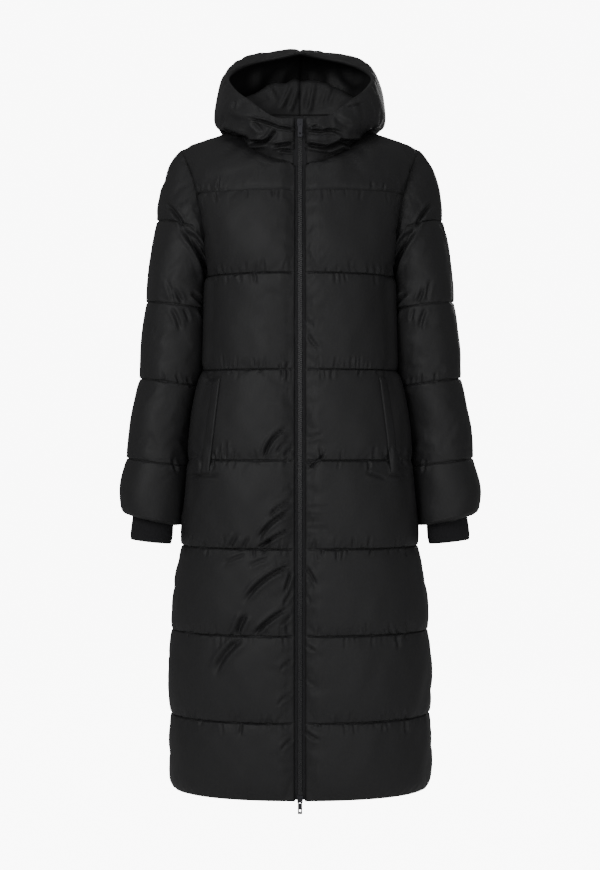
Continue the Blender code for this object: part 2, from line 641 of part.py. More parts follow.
def make_welts():
    """Padded strips along the slanted pocket mouths. Each is laid on the crests of its front's channels,
    so that it bridges the groove that it crosses."""
    _, outer, out = quilted_half(-1, FRONT_COLUMNS)
    heights = np.array([height for height, _ in body_rows()])
    crests = [height for height, swell in body_rows() if WELT_BOTTOM < height < WELT_TOP and swell > 0]
    under, over = [], []
    for height in [WELT_BOTTOM] + crests + [WELT_TOP]:
        low = np.searchsorted(heights, height, side="right") - 1
        share = (height - heights[low]) / (heights[low + 1] - heights[low])
        line = outer[low] * (1 - share) + outer[low + 1] * share
        away = out[low] * (1 - share) + out[low + 1] * share
        edge = np.interp(height, [WELT_BOTTOM, WELT_TOP], [WELT_BOTTOM_X, WELT_TOP_X])
        places = np.arange(len(line))
        start = np.interp(edge, line[:, 0], places)
        step = np.linalg.norm(line[int(start) + 1] - line[int(start)])
        wide = start + np.linspace(0, WELT_WIDTH / step, 4)
        at = np.stack([np.interp(wide, places, line[:, axis]) for axis in range(3)], axis=1)
        away = unit(np.stack([np.interp(wide, places, away[:, axis]) for axis in range(3)], axis=1))
        under.append(at + away * WELT_LIFT)
        over.append(at + away * (WELT_LIFT + WELT_THICK))
    under, over = np.array(under), np.array(over)
    wall("pocket_welt_left", over, under, SHELL)
    wall("pocket_welt_right", mirrored(over), mirrored(under), SHELL)


clear_scene()
make_body()
make_sleeves()
make_cuffs()
make_hood()
make_welts()
make_zip()
for slider, pull, height in [("slider_top", "pull_top", TOP_SLIDER), ("slider_bottom", "pull_bottom", BOTTOM_SLIDER)]:
    make_pull(pull, height, make_slider(slider, height))
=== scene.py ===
"""The looks of a long hooded puffer coat, hollow as if worn: quilted shell, hood, rib cuffs and zip.

Each quilted panel is a grid on the coat's stitched form. Blender's cloth blows it out between its
seams, folds are pressed into it, and an inner face closes it into a wall of padded cloth.
"""

import math
from collections import namedtuple

import bpy
import numpy as np
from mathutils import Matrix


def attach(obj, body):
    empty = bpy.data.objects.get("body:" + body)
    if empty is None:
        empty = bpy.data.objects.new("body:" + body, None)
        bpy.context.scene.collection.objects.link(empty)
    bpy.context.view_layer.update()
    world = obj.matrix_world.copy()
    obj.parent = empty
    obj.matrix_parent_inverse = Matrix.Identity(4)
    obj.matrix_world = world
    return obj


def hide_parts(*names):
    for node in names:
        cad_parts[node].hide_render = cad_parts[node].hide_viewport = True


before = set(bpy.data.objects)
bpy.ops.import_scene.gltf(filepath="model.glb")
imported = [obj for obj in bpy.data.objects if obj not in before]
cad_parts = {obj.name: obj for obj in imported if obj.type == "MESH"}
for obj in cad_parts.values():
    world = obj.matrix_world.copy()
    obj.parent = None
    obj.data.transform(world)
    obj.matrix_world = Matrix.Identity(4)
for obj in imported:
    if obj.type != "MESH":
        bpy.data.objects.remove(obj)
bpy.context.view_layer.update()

# ---------------------------------------------------------------- sizes, in metres

WALL = 0.003  # the padded cloth where a seam holds it flat
SEAM_LAP = 0.0003  # how far the two edges of a seam lie over each other
ROUNDNESS = 2.3  # exponent of the body's superelliptic levels
FRONT_EDGE = 0.0115  # from the centre line to the edge of each front
HEM, UNDERARM, YOKE = -1.166, -0.283, -0.142
SHOULDER_TIP = np.array([0.208, 0.0, -0.057])
NECK_HALF_WIDTH, NECK_FRONT, NECK_BACK = 0.108, 0.106, 0.068
NECK_LOW, NECK_HIGH = -0.095, 0.016
ARMHOLE_REACH = 0.062
SEAMS = [HEM, -1.036, -0.891, -0.746, -0.598, -0.445, UNDERARM, YOKE]

# The body at each height: half its width, and its depth in front of and behind the side seams.
Level = namedtuple("Level", "height half_width front back")
LEVELS = [
    Level(-1.166, 0.218, 0.152, 0.150),
    Level(-1.036, 0.219, 0.153, 0.150),
    Level(-0.891, 0.217, 0.153, 0.148),
    Level(-0.746, 0.200, 0.150, 0.143),
    Level(-0.598, 0.190, 0.146, 0.136),
    Level(-0.530, 0.184, 0.142, 0.125),
    Level(-0.445, 0.165, 0.138, 0.108),
    Level(-0.370, 0.157, 0.136, 0.105),
    Level(-0.283, 0.159, 0.142, 0.116),
    Level(-0.240, 0.162, 0.143, 0.119),
    Level(-0.142, 0.170, 0.124, 0.118),
    Level(-0.095, 0.180, 0.106, 0.110),
    Level(-0.041, 0.190, 0.1145, 0.095),
    Level(-0.010, 0.190, 0.115, 0.090),
]
# How far the armhole lies from the centre line, on the front panel and on the back.
Armhole = namedtuple("Armhole", "height front back")
ARMHOLE = [
    Armhole(-0.283, 0.159, 0.159),
    Armhole(-0.243, 0.160, 0.163),
    Armhole(-0.198, 0.165, 0.171),
    Armhole(-0.158, 0.174, 0.180),
    Armhole(-0.114, 0.184, 0.190),
    Armhole(-0.057, 0.208, 0.208),
]
# The left sleeve below its cap, ring by ring.
Ring = namedtuple("Ring", "height centre_x centre_y half_width half_depth")
SLEEVE = [
    Ring(-0.331, 0.2125, 0.004, 0.0495, 0.070),
    Ring(-0.389, 0.2155, 0.004, 0.0515, 0.069),
    Ring(-0.464, 0.2255, 0.002, 0.0480, 0.067),
    Ring(-0.529, 0.2395, -0.002, 0.0455, 0.064),
    Ring(-0.6025, 0.2475, -0.008, 0.0480, 0.061),
    Ring(-0.660, 0.2550, -0.014, 0.0500, 0.058),
    Ring(-0.695, 0.2565, -0.018, 0.0475, 0.054),
]
SLEEVE_LEAN = 0.14  # radians, of the rings below the armhole; twice that at the end
CAP_SEAM, CAP_SEAM_RISE = -0.196, 0.014
SLEEVE_SEAMS = [-0.331, -0.464, -0.6025, -0.6975]
SLEEVE_END, SLEEVE_TUCK = -0.6950, -0.6965  # its last free ring, and the one sewn to the cuff
CUFF_CENTRE_Y = -0.018
Cuff = namedtuple("Cuff", "height centre_x half_width half_depth")
CUFFS = [
    Cuff(-0.7460, 0.2560, 0.0345, 0.0330),
    Cuff(-0.7400, 0.2558, 0.0355, 0.0345),
    Cuff(-0.7200, 0.2555, 0.0354, 0.0345),
    Cuff(-0.6950, 0.2555, 0.0350, 0.0340),
]
# The hood's profile at each angle in degrees round the neck from the centre front, from the neck seam to
# the rim: pairs of distance from the upright line through the neck, and height.
Hood = namedtuple("Hood", "angle neck stand ridge fall low pouch back swell crown rim")
HOOD = [
    Hood(0, (0.106, -0.095), (0.107, -0.088), (0.1085, -0.081), (0.110, -0.074), (0.111, -0.068),
         (0.112, -0.060), (0.113, -0.051), (0.114, -0.041), (0.1145, -0.031), (0.115, -0.020)),
    Hood(22, (0.1065, -0.088), (0.108, -0.079), (0.110, -0.072), (0.112, -0.065), (0.1135, -0.059),
         (0.1155, -0.052), (0.1175, -0.043), (0.1185, -0.034), (0.118, -0.026), (0.117, -0.0165)),
    Hood(45, (0.107, -0.069), (0.110, -0.058), (0.1125, -0.050), (0.115, -0.044), (0.119, -0.039),
         (0.1245, -0.033), (0.129, -0.022), (0.130, -0.008), (0.128, 0.006), (0.1235, 0.016)),
    Hood(90, (0.108, -0.018), (0.1150, -0.011), (0.1230, -0.008), (0.1320, -0.010), (0.1395, -0.012),
         (0.1415, -0.002), (0.1395, 0.014), (0.1365, 0.032), (0.1325, 0.053), (0.1290, 0.073)),
    Hood(135, (0.090, 0.012), (0.101, 0.040), (0.112, 0.050), (0.126, 0.008), (0.138, -0.020),
         (0.154, -0.022), (0.168, 0.010), (0.168, 0.060), (0.149, 0.120), (0.102, 0.115)),
    Hood(158, (0.076, 0.015), (0.086, 0.056), (0.100, 0.071), (0.121, 0.003), (0.140, -0.034),
         (0.167, -0.031), (0.190, 0.018), (0.188, 0.076), (0.155, 0.136), (0.078, 0.124)),
    Hood(180, (0.068, 0.016), (0.078, 0.062), (0.094, 0.076), (0.118, 0.000), (0.140, -0.040),
         (0.172, -0.035), (0.200, 0.020), (0.199, 0.083), (0.158, 0.144), (0.062, 0.128)),
]


# ---------------------------------------------------------------- curves and grids

def smooth(at, places, values):
    """A cubic through values at rising places, each slope taken from the neighbours on both sides."""
    places, values = np.asarray(places, float), np.asarray(values, float)
    slopes = np.gradient(values, places, axis=0)
    at = np.clip(np.asarray(at, float), places[0], places[-1])
    low = np.clip(np.searchsorted(places, at, side="right") - 1, 0, len(places) - 2)
    span = places[low + 1] - places[low]
    share = (at - places[low]) / span
    if values.ndim > 1:
        span, share = span[..., None], share[..., None]
    return (
        (2 * share**3 - 3 * share**2 + 1) * values[low]
        + (share**3 - 2 * share**2 + share) * span * slopes[low]
        + (3 * share**2 - 2 * share**3) * values[low + 1]
        + (share**3 - share**2) * span * slopes[low + 1]
    )


def unit(vectors):
    """Vectors made one long."""
    return vectors / np.linalg.norm(vectors, axis=-1, keepdims=True)


def ease(low, high, values):
    """0 below low, 1 above high, an S-shaped rise between."""
    share = np.clip((values - low) / (high - low), 0, 1)
    return share * share * (3 - 2 * share)


def resample(points, shares):
    """Points at shares of the length of a dense line."""
    steps = np.linalg.norm(np.diff(points, axis=0), axis=1)
    along = np.concatenate([[0], np.cumsum(steps)]) / steps.sum()
    return np.stack([np.interp(shares, along, points[:, axis]) for axis in range(3)], axis=1)


def column(table, name):
    """One named column of a table."""
    return [getattr(row, name) for row in table]


def level(height, name):
    """A named size of the body at any height, on a cubic through the table."""
    return smooth(height, column(LEVELS, "height"), column(LEVELS, name))


def side_edge(height, facing):
    """Where a level of the body ends: the side seam, or the armhole above the underarm."""
    if height <= UNDERARM:
        return np.array([level(height, "half_width"), 0.0, height])
    rise = (height - UNDERARM) / (SHOULDER_TIP[2] - UNDERARM)
    reach = ARMHOLE_REACH * max(math.sin(math.pi * min(rise, 1.0) ** 0.8), 0.0) ** 0.75
    side = "front" if facing < 0 else "back"
    width = smooth(height, column(ARMHOLE, "height"), column(ARMHOLE, side))
    return np.array([width, facing * reach, height])


def level_row(height, facing, shares):
    """One level of the coat: a superellipse from its centre line round to its side edge."""
    depth = level(height, "front" if facing < 0 else "back")
    edge = side_edge(height, facing)
    half_width = edge[0] / (1 - (abs(edge[1]) / depth) ** ROUNDNESS) ** (1 / ROUNDNESS)
    start = FRONT_EDGE if facing < 0 else 0.0
    ends = [math.asin(min((x / half_width) ** (ROUNDNESS / 2), 1.0)) for x in (start, edge[0])]
    turn = np.linspace(ends[0], ends[1], 400)
    power = 2 / ROUNDNESS
    across = half_width * np.sin(turn) ** power
    out = facing * depth * np.abs(np.cos(turn)) ** power
    return resample(np.stack([across, out, np.full_like(turn, height)], axis=1), shares)


def neck_point(angle):
    """The neck seam, at an angle round from the centre front."""
    depth = NECK_FRONT if angle < math.pi / 2 else NECK_BACK
    drop = ((1 + math.cos(angle)) / 2) ** 1.7
    height = NECK_HIGH + (NECK_LOW - NECK_HIGH) * drop
    return np.array([NECK_HALF_WIDTH * math.sin(angle), -depth * math.cos(angle), height])


FIRST_ANGLE = math.asin(FRONT_EDGE / NECK_HALF_WIDTH)


def coons(bottom, top, left, right, across, up):
    """A surface between four edge lines: both ruled surfaces, less the one between the corners."""
    u, v = np.asarray(across)[None, :, None], np.asarray(up)[:, None, None]
    ruled = (1 - v) * bottom[None] + v * top[None] + (1 - u) * left[:, None] + u * right[:, None]
    low = (1 - u) * (1 - v) * bottom[0] + u * (1 - v) * bottom[-1]
    return ruled - (low + (1 - u) * v * top[0] + u * v * top[-1])


def channel_steps(count):
    """Shares of a channel's height, closer together by its seams."""
    even = np.linspace(0, 1, count + 1)
    return 0.25 * even + 0.75 * (1 - np.cos(math.pi * even)) / 2


def normals(grid, closed=False):
    """Directions square to a grid: the cross product of its steps across and up."""
    if closed:
        wrapped = np.concatenate([grid[:, -1:], grid, grid[:, :1]], axis=1)
        across = np.gradient(wrapped, axis=1)[:, 1:-1]
    else:
        across = np.gradient(grid, axis=1)
    return unit(np.cross(across, np.gradient(grid, axis=0)))


# ---------------------------------------------------------------- the stitched forms

CHANNEL_ROWS = 24
YOKE_ROWS = 20
SLEEVE_ROWS = 22
FRONT_COLUMNS = 76
BACK_COLUMNS = 44  # on each side of the centre back


def body_heights():
    """Heights of the body's rows up to the yoke seam."""
    rows = [low + channel_steps(CHANNEL_ROWS)[:-1] * (high - low) for low, high in zip(SEAMS, SEAMS[1:])]
    return np.concatenate(rows + [[YOKE]])


def armhole_heights():
    """Heights of the rows between the yoke seam and the shoulder tip."""
    return YOKE + channel_steps(YOKE_ROWS) * (SHOULDER_TIP[2] - YOKE)


def half_form(facing, shares):
    """Half of the coat's stitched form, front or back, from the hem to the neck and shoulder."""
    lower = np.array([level_row(height, facing, shares) for height in body_heights()])
    up = np.linspace(0, 1, YOKE_ROWS + 1)
    right = np.array([side_edge(height, facing) for height in armhole_heights()])
    right[0], right[-1] = lower[-1, -1], SHOULDER_TIP
    if facing < 0:
        angles = np.linspace(FIRST_ANGLE, math.pi / 2, 60)
        line = np.concatenate([np.linspace(lower[-1, 0], neck_point(FIRST_ANGLE), 8)[:-1],
                               [neck_point(angle) for angle in angles]])
        left = resample(line, up)
        top = left[-1] + (SHOULDER_TIP - left[-1]) * np.asarray(shares)[:, None]
    else:
        back_neck = np.array([neck_point(angle) for angle in np.linspace(math.pi, math.pi / 2, 40)])
        left = lower[-1, 0] + (back_neck[0] - lower[-1, 0]) * up[:, None]
        seam = np.linspace(back_neck[-1], SHOULDER_TIP, 30)[1:]
        top = resample(np.concatenate([back_neck, seam]), shares)
    yoke = coons(lower[-1], top, left, right, shares, up)
    return np.concatenate([lower, yoke[1:]])


def armhole_direction(point):
    """Leaning outwards across the armhole seam."""
    middle = np.array([0.0, 0.0, (UNDERARM + SHOULDER_TIP[2]) / 2])
    radial = unit((point - middle) * (0, 1, 1) + (0, 0, 1e-9))
    return unit(radial + (0.7, 0, 0))


def body_directions(form, facing):
    """Outward directions of half of the body, turned along its seams to meet its neighbours'."""
    out = normals(form) * -facing
    out[:, 0] = unit(out[:, 0] * (0, 1, 1))
    under = CHANNEL_ROWS * (len(SEAMS) - 2)
    out[: under + 1, -1] = (1, 0, 0)
    out[under:, -1] = [armhole_direction(point) for point in form[under:, -1]]
    shoulder = form[-1, :, 0] > NECK_HALF_WIDTH - 1e-6
    out[-1, shoulder] = (math.sin(0.37), 0, math.cos(0.37))
    return out


def channel_fill(rows_per_channel, channels, sag=0.8):
    """How full each row of a run of channels is: a sine over the channel, leaning to its lower part."""
    share = channel_steps(rows_per_channel)[:-1]
    one = np.sin(math.pi * share**sag) ** 0.5
    return np.concatenate([np.tile(one, channels), [0.0]])


def edge_fill(shares, wide, first=True):
    """0 at the last column, and at the first unless told not, rising to 1 within a share of the width."""
    fill = np.ones(len(shares))
    if first:
        fill = fill * np.clip(shares / wide, 0, 1) ** 0.6
    return fill * np.clip((1 - shares) / wide, 0, 1) ** 0.6


def sleeve_ring(height, angles):
    """A ring of the sleeve's form, which starts at the underarm side and runs round by the front."""
    heights = column(SLEEVE, "height")[::-1]
    sizes = [smooth(height, heights, column(SLEEVE, name)[::-1]) for name in Ring._fields[1:]]
    centre = np.array([sizes[0], sizes[1], height])
    lean = SLEEVE_LEAN + 0.14 * float(ease(-0.62, -0.69, height))
    outward = np.array([math.cos(lean), 0, math.sin(lean)])
    across = -np.cos(angles)[:, None] * outward * sizes[2]
    forward = -np.sin(angles)[:, None] * np.array([0, 1, 0]) * sizes[3]
    return centre + across + forward


def cuff_ring(height, angles, grow):
    """An ellipse of the left cuff at a height, grown all round."""
    sizes = [smooth(height, column(CUFFS, "height"), column(CUFFS, name)) for name in Cuff._fields[1:]]
    return np.stack([
        sizes[0] - np.cos(angles) * (sizes[1] + grow),
        CUFF_CENTRE_Y - np.sin(angles) * (sizes[2] + grow),
        np.full_like(angles, height),
    ], axis=1)


SLEEVE_COLUMNS = 80


def armhole_loop():
    """The armhole's points, from the underarm up the front, over the tip and down the back."""
    heights = np.linspace(UNDERARM, SHOULDER_TIP[2], 200)[1:-1]
    half = SLEEVE_COLUMNS // 2
    front = [side_edge(UNDERARM, -1)] + [side_edge(height, -1) for height in heights] + [SHOULDER_TIP]
    back = [SHOULDER_TIP] + [side_edge(height, 1) for height in heights[::-1]] + [side_edge(UNDERARM, 1)]
    shares = np.linspace(0, 1, half + 1)[:-1]
    return np.concatenate([resample(np.array(front), shares), resample(np.array(back), shares)])


def sleeve_cap(loop, angles, shares):
    """From the armhole out and down to the sleeve's second seam: one cubic for each column."""
    end = sleeve_ring(SLEEVE[0].height, angles)
    chord = np.linalg.norm(end - loop, axis=1)[:, None]
    drop = 0.875 - 0.825 * np.cos(angles)
    reach = (0.875 + 0.125 * np.cos(angles))[:, None]
    leaving = unit(np.stack([np.ones_like(drop), 0 * drop, -drop], axis=1)) * chord * reach
    arriving = np.array([math.sin(SLEEVE_LEAN), 0, -math.cos(SLEEVE_LEAN)]) * chord * 1.2
    t = np.asarray(shares)[..., None]
    return (
        (2 * t**3 - 3 * t**2 + 1) * loop
        + (t**3 - 2 * t**2 + t) * leaving
        + (3 * t**2 - 2 * t**3) * end
        + (t**3 - t**2) * arriving
    )


def cap_seam_shares(loop, angles):
    """How far down each column of the cap its first seam lies, and how much of the seam is there."""
    dense = np.linspace(0, 1, 101)
    heights = sleeve_cap(loop, angles, np.repeat(dense[:, None], len(angles), axis=1))[..., 2]
    seam = CAP_SEAM - CAP_SEAM_RISE * np.cos(angles)
    shares = np.array([np.interp(-seam[i], -heights[:, i], dense) for i in range(len(angles))])
    return np.maximum(shares, 0.16), np.clip((loop[:, 2] - seam) / 0.03, 0, 1)


HOOD_LINE_POINTS = 181  # of the dense line that a hood column is read from


def hood_form(shares, angles):
    """The hood's left half from the neck seam to the rim, one column for each angle round the neck."""
    before, after = HOOD[1]._replace(angle=-HOOD[1].angle), HOOD[-2]._replace(angle=360 - HOOD[-2].angle)
    around_it = [before, *HOOD, after]
    stations = np.array([row[1:] for row in around_it])
    knots = [row.angle for row in around_it]
    columns = []
    for angle in angles:
        profile = smooth(math.degrees(angle), knots, stations)
        line = smooth(np.linspace(0, 9, HOOD_LINE_POINTS), np.arange(10), profile)
        around = np.stack([line[:, 0] * math.sin(angle), -line[:, 0] * math.cos(angle), line[:, 1]], axis=1)
        miss = neck_point(angle) - around[0]
        around += miss * np.linspace(1, 0, HOOD_LINE_POINTS)[:, None] ** 3
        columns.append(resample(around, shares))
    form = np.stack(columns, axis=1)
    form[:, 0, 0] = FRONT_EDGE
    form[:, -1, 0] = 0.0
    return form


# ---------------------------------------------------------------- meshes

def add_mesh(name, points, quads, triangles=None, smoothly=True):
    """An object from arrays of points and faces, at the origin, turned so that its faces point outwards."""
    points = np.ascontiguousarray(points, np.float64)
    quads = np.asarray(quads, np.int64).reshape(-1, 4)
    triangles = np.zeros((0, 3), np.int64) if triangles is None else np.asarray(triangles).reshape(-1, 3)
    all_three = np.concatenate([quads[:, [0, 1, 2]], quads[:, [0, 2, 3]], triangles])
    corners = points[all_three]
    if np.einsum("ij,ij->", corners[:, 0], np.cross(corners[:, 1], corners[:, 2])) < 0:
        quads, triangles = quads[:, ::-1], triangles[:, ::-1]
    loops = np.concatenate([quads.reshape(-1), triangles.reshape(-1)])
    sizes = np.concatenate([np.full(len(quads), 4), np.full(len(triangles), 3)])
    mesh = bpy.data.meshes.new(name)
    mesh.vertices.add(len(points))
    mesh.vertices.foreach_set("co", points.reshape(-1))
    mesh.loops.add(len(loops))
    mesh.loops.foreach_set("vertex_index", loops.astype(np.int32))
    mesh.polygons.add(len(sizes))
    mesh.polygons.foreach_set("loop_start", np.concatenate([[0], np.cumsum(sizes)[:-1]]).astype(np.int32))
    mesh.polygons.foreach_set("use_smooth", np.full(len(sizes), smoothly))
    mesh.update(calc_edges=True)
    made = bpy.data.objects.new(name, mesh)
    bpy.context.scene.collection.objects.link(made)
    return made


def grid_quads(rows, columns, closed=False, start=0):
    """The faces of a grid of points numbered row by row, wrapped round where it is closed."""
    ids = start + np.arange(rows * columns).reshape(rows, columns)
    if closed:
        ids = np.concatenate([ids, ids[:, :1]], axis=1)
    return np.stack([ids[:-1, :-1], ids[:-1, 1:], ids[1:, 1:], ids[1:, :-1]], axis=-1).reshape(-1, 4)


def rim_triangles(fine, coarse):
    """Triangles between an edge and one with half as many steps."""
    a, b, c, p, q = fine[:-1:2], fine[1::2], fine[2::2], coarse[:-1], coarse[1:]
    return np.concatenate([np.stack(three, axis=1) for three in ((a, b, p), (b, q, p), (b, c, q))])


def add_wall(name, outer, inner, closed=False):
    """A closed wall between a fine outer grid and an inner grid with half as many steps each way."""
    rows, columns = outer.shape[:2]
    inner_rows, inner_columns = inner.shape[:2]
    start = rows * columns
    out_ids = np.arange(start).reshape(rows, columns)
    in_ids = start + np.arange(inner_rows * inner_columns).reshape(inner_rows, inner_columns)
    quads = [grid_quads(rows, columns, closed), grid_quads(inner_rows, inner_columns, closed, start)[:, ::-1]]
    if closed:
        out_ids = np.concatenate([out_ids, out_ids[:, :1]], axis=1)
        in_ids = np.concatenate([in_ids, in_ids[:, :1]], axis=1)
    rims = [rim_triangles(out_ids[0, ::-1], in_ids[0, ::-1]), rim_triangles(out_ids[-1], in_ids[-1])]
    if not closed:
        rims.append(rim_triangles(out_ids[:, 0], in_ids[:, 0]))
        rims.append(rim_triangles(out_ids[::-1, -1], in_ids[::-1, -1]))
    points = np.concatenate([outer.reshape(-1, 3), inner.reshape(-1, 3)])
    return add_mesh(name, points, np.concatenate(quads), np.concatenate(rims))


def finer(grid, closed=False):
    """A grid with twice the steps each way, its new points on a cubic through their four neighbours."""
    for axis in (0, 1):
        lines = np.moveaxis(grid, axis, 0)
        if closed and axis == 1:
            around = np.concatenate([lines[-1:], lines, lines[:2]])
        else:
            around = np.concatenate([2 * lines[:1] - lines[1:2], lines, 2 * lines[-1:] - lines[-2:-1]])
        middles = (9 * (around[1:-2] + around[2:-1]) - around[:-3] - around[3:]) / 16
        if closed and axis == 1:
            both = np.stack([lines, middles[: len(lines)]], axis=1).reshape(-1, *lines.shape[1:])
        else:
            both = np.stack([lines[:-1], middles], axis=1).reshape(-1, *lines.shape[1:])
            both = np.concatenate([both, lines[-1:]])
        grid = np.moveaxis(both, 0, axis)
    return grid


def mirrored(grid):
    """Points on the other side of the centre line."""
    return grid * (-1, 1, 1)


# ---------------------------------------------------------------- cloth

Panel = namedtuple("Panel", "cloth lining form out fill puff pins closed")
PANELS = {}
PRESSURE = 4.0  # inside the cloth, in the cloth simulation's own measure
GIVE = 0.03  # share by which the cloth is let out, so that it can swell
FRAMES = 20


def ripples(points, seed, size, count=24):
    """Smooth seeded noise from -1 to 1: waves in all directions, each about as long as size."""
    draw = np.random.default_rng(seed)
    waves = draw.normal(size=(3, count)) * (2 * math.pi / (size * 1.7))
    phases = draw.uniform(0, 2 * math.pi, count)
    return np.sin(points @ waves + phases).sum(axis=-1) / math.sqrt(count)


def inward(form, closed, reach=0.022):
    """0 along a panel's edges and 1 past a reach from them."""
    up = np.linalg.norm(np.diff(form, axis=0), axis=2).mean(axis=1)
    up = np.concatenate([[0], np.cumsum(up)])
    share = np.minimum(ease(0, reach, up), ease(0, reach, up[-1] - up))[:, None]
    if closed:
        return share * np.ones(form.shape[1])
    across = np.linalg.norm(np.diff(form, axis=1), axis=2)
    across = np.concatenate([np.zeros((len(form), 1)), np.cumsum(across, axis=1)], axis=1)
    return share * np.minimum(ease(0, reach, across), ease(0, reach, across[:, -1:] - across))


def sew(name, form, out, fill, puff, pins, seed, closed=False, raised=0.0):
    """Starts a panel's cloth on its form, part filled, and pinned where pins is 1. The filling also lifts the
    quilt seams by a share of the puff, though not the panel's edges."""
    lining = form
    lift = raised * inward(form, closed)
    form = form + out * (lift * puff)[..., None]
    fill = fill * (1 - 0.8 * lift)
    uneven = (1 - pins) * 0.0005 * ripples(form, seed, 0.03)
    start = form + out * (fill * puff * 0.6 + uneven)[..., None]
    rows, columns = form.shape[:2]
    quads = grid_quads(rows, columns, closed)
    middle = start.reshape(-1, 3)[quads[len(quads) // 2]]
    facing = np.cross(middle[1] - middle[0], middle[3] - middle[0])
    if np.dot(facing, out.reshape(-1, 3)[quads[len(quads) // 2][0]]) < 0:
        quads = quads[:, ::-1]
    mesh = bpy.data.meshes.new(name)
    mesh.from_pydata(start.reshape(-1, 3).tolist(), [], quads.tolist())
    cloth = bpy.data.objects.new(f"{name}.cloth", mesh)
    bpy.context.scene.collection.objects.link(cloth)
    group = cloth.vertex_groups.new(name="seams")
    group.add(np.flatnonzero(pins.reshape(-1) > 0.5).tolist(), 1.0, "REPLACE")
    change = cloth.modifiers.new("cloth", "CLOTH")
    settings = change.settings
    settings.quality = 4
    settings.mass = 0.05
    settings.tension_stiffness = 12
    settings.compression_stiffness = 12
    settings.shear_stiffness = 3
    settings.bending_stiffness = 0.05
    settings.tension_damping = 8
    settings.compression_damping = 8
    settings.air_damping = 2
    settings.vertex_group_mass = "seams"
    settings.use_pressure = True
    settings.uniform_pressure_force = PRESSURE
    settings.effector_weights.gravity = 0.0
    settings.shrink_min = -GIVE
    change.collision_settings.use_collision = False
    PANELS[name] = Panel(cloth, lining, form, out, fill, puff, pins, closed)


def blow_out():
    """Steps all the panels' cloth together. Each point ends at the mean of the cloth's height off the form,
    which is capped, and the height that its fill gives."""
    for number in range(1, FRAMES + 1):
        bpy.context.scene.frame_set(number)
    graph = bpy.context.evaluated_depsgraph_get()
    shapes = {}
    for name, panel in PANELS.items():
        mesh = panel.cloth.evaluated_get(graph).data
        points = np.empty(len(mesh.vertices) * 3)
        mesh.vertices.foreach_get("co", points)
        moved = points.reshape(panel.form.shape) - panel.form
        stand = (moved * panel.out).sum(axis=-1, keepdims=True)
        slide = moved - stand * panel.out
        limit = panel.puff * (0.15 + panel.fill[..., None])
        stand = np.where(stand > 0, limit * np.tanh(stand / limit), 0.4 * stand)
        stand = 0.5 * stand + 0.5 * (panel.fill * panel.puff)[..., None]
        shapes[name] = panel.form + panel.out * stand + slide * 0.6
        bpy.data.objects.remove(panel.cloth, do_unlink=True)
    return shapes


# ---------------------------------------------------------------- the quilted panels

BODY_PUFF, SLEEVE_PUFF, HOOD_PUFF = 0.012, 0.011, 0.009
GROOVE_DEPTH, GROOVE_WIDTH = 0.0020, 0.0017  # where the quilt stitches draw the cloth in
SOFT_HEIGHT, SOFT_SIZE = 0.0008, 0.045  # the low unevenness of the filling
OVERHANG, OVERHANG_WIDTH, OVERHANG_EDGE = 0.0034, 0.004, 0.0012  # of the fronts and hood over the zip tapes
POCKET_SEAM = 4  # this seam stops at the pocket, and starts again at the side


def spread(count):
    """Shares of a width, a little closer together at both edges."""
    even = np.linspace(0, 1, count + 1)
    return 0.8 * even + 0.2 * (1 - np.cos(math.pi * even)) / 2


def body_half(facing, shares):
    """Form, directions, fill and pins of half of the body, front or back."""
    form = half_form(facing, shares)
    out = body_directions(form, facing)
    seam = np.abs(form[:, -1, 1]) < 1e-6
    form[seam, -1, 1] = -facing * SEAM_LAP / 2
    last = np.abs(form[-1, :, 1]) < 1e-6
    form[-1, last, 1] = -facing * SEAM_LAP / 2
    channels = len(SEAMS) - 1
    yoke = np.sin(math.pi * channel_steps(YOKE_ROWS)[1:] ** 0.62) ** 0.8
    up = np.concatenate([channel_fill(CHANNEL_ROWS, channels), yoke])
    across = edge_fill(shares, 0.07, first=facing < 0)
    if facing < 0:
        across = across * (0.72 + 0.28 * ease(0.05, 0.30, shares))
    fill = up[:, None] * across[None]
    beside = np.exp(-(((form[:, -1, 2] + 0.33) / 0.16) ** 4))[:, None]
    fill = fill * (1 - 0.3 * beside * ease(0.80, 0.97, shares)[None])
    pins = np.zeros(form.shape[:2])
    pins[: CHANNEL_ROWS * channels + 1 : CHANNEL_ROWS] = 1
    pins[0], pins[-1], pins[:, -1] = 1, 1, 1
    if facing < 0:
        pins[:, 0] = 1
        plain = ease(0.142, 0.150, form[..., 0]) * ease(0.185, 0.179, form[..., 0])
        plain = plain * ease(0.030, 0.020, np.abs(form[..., 2] - SEAMS[POCKET_SEAM]))
        fill = fill + (0.95 - fill).clip(0) * plain
        pocket_row = CHANNEL_ROWS * POCKET_SEAM
        pins[pocket_row, plain[pocket_row] > 0.3] = 0
    return form, out, fill, pins


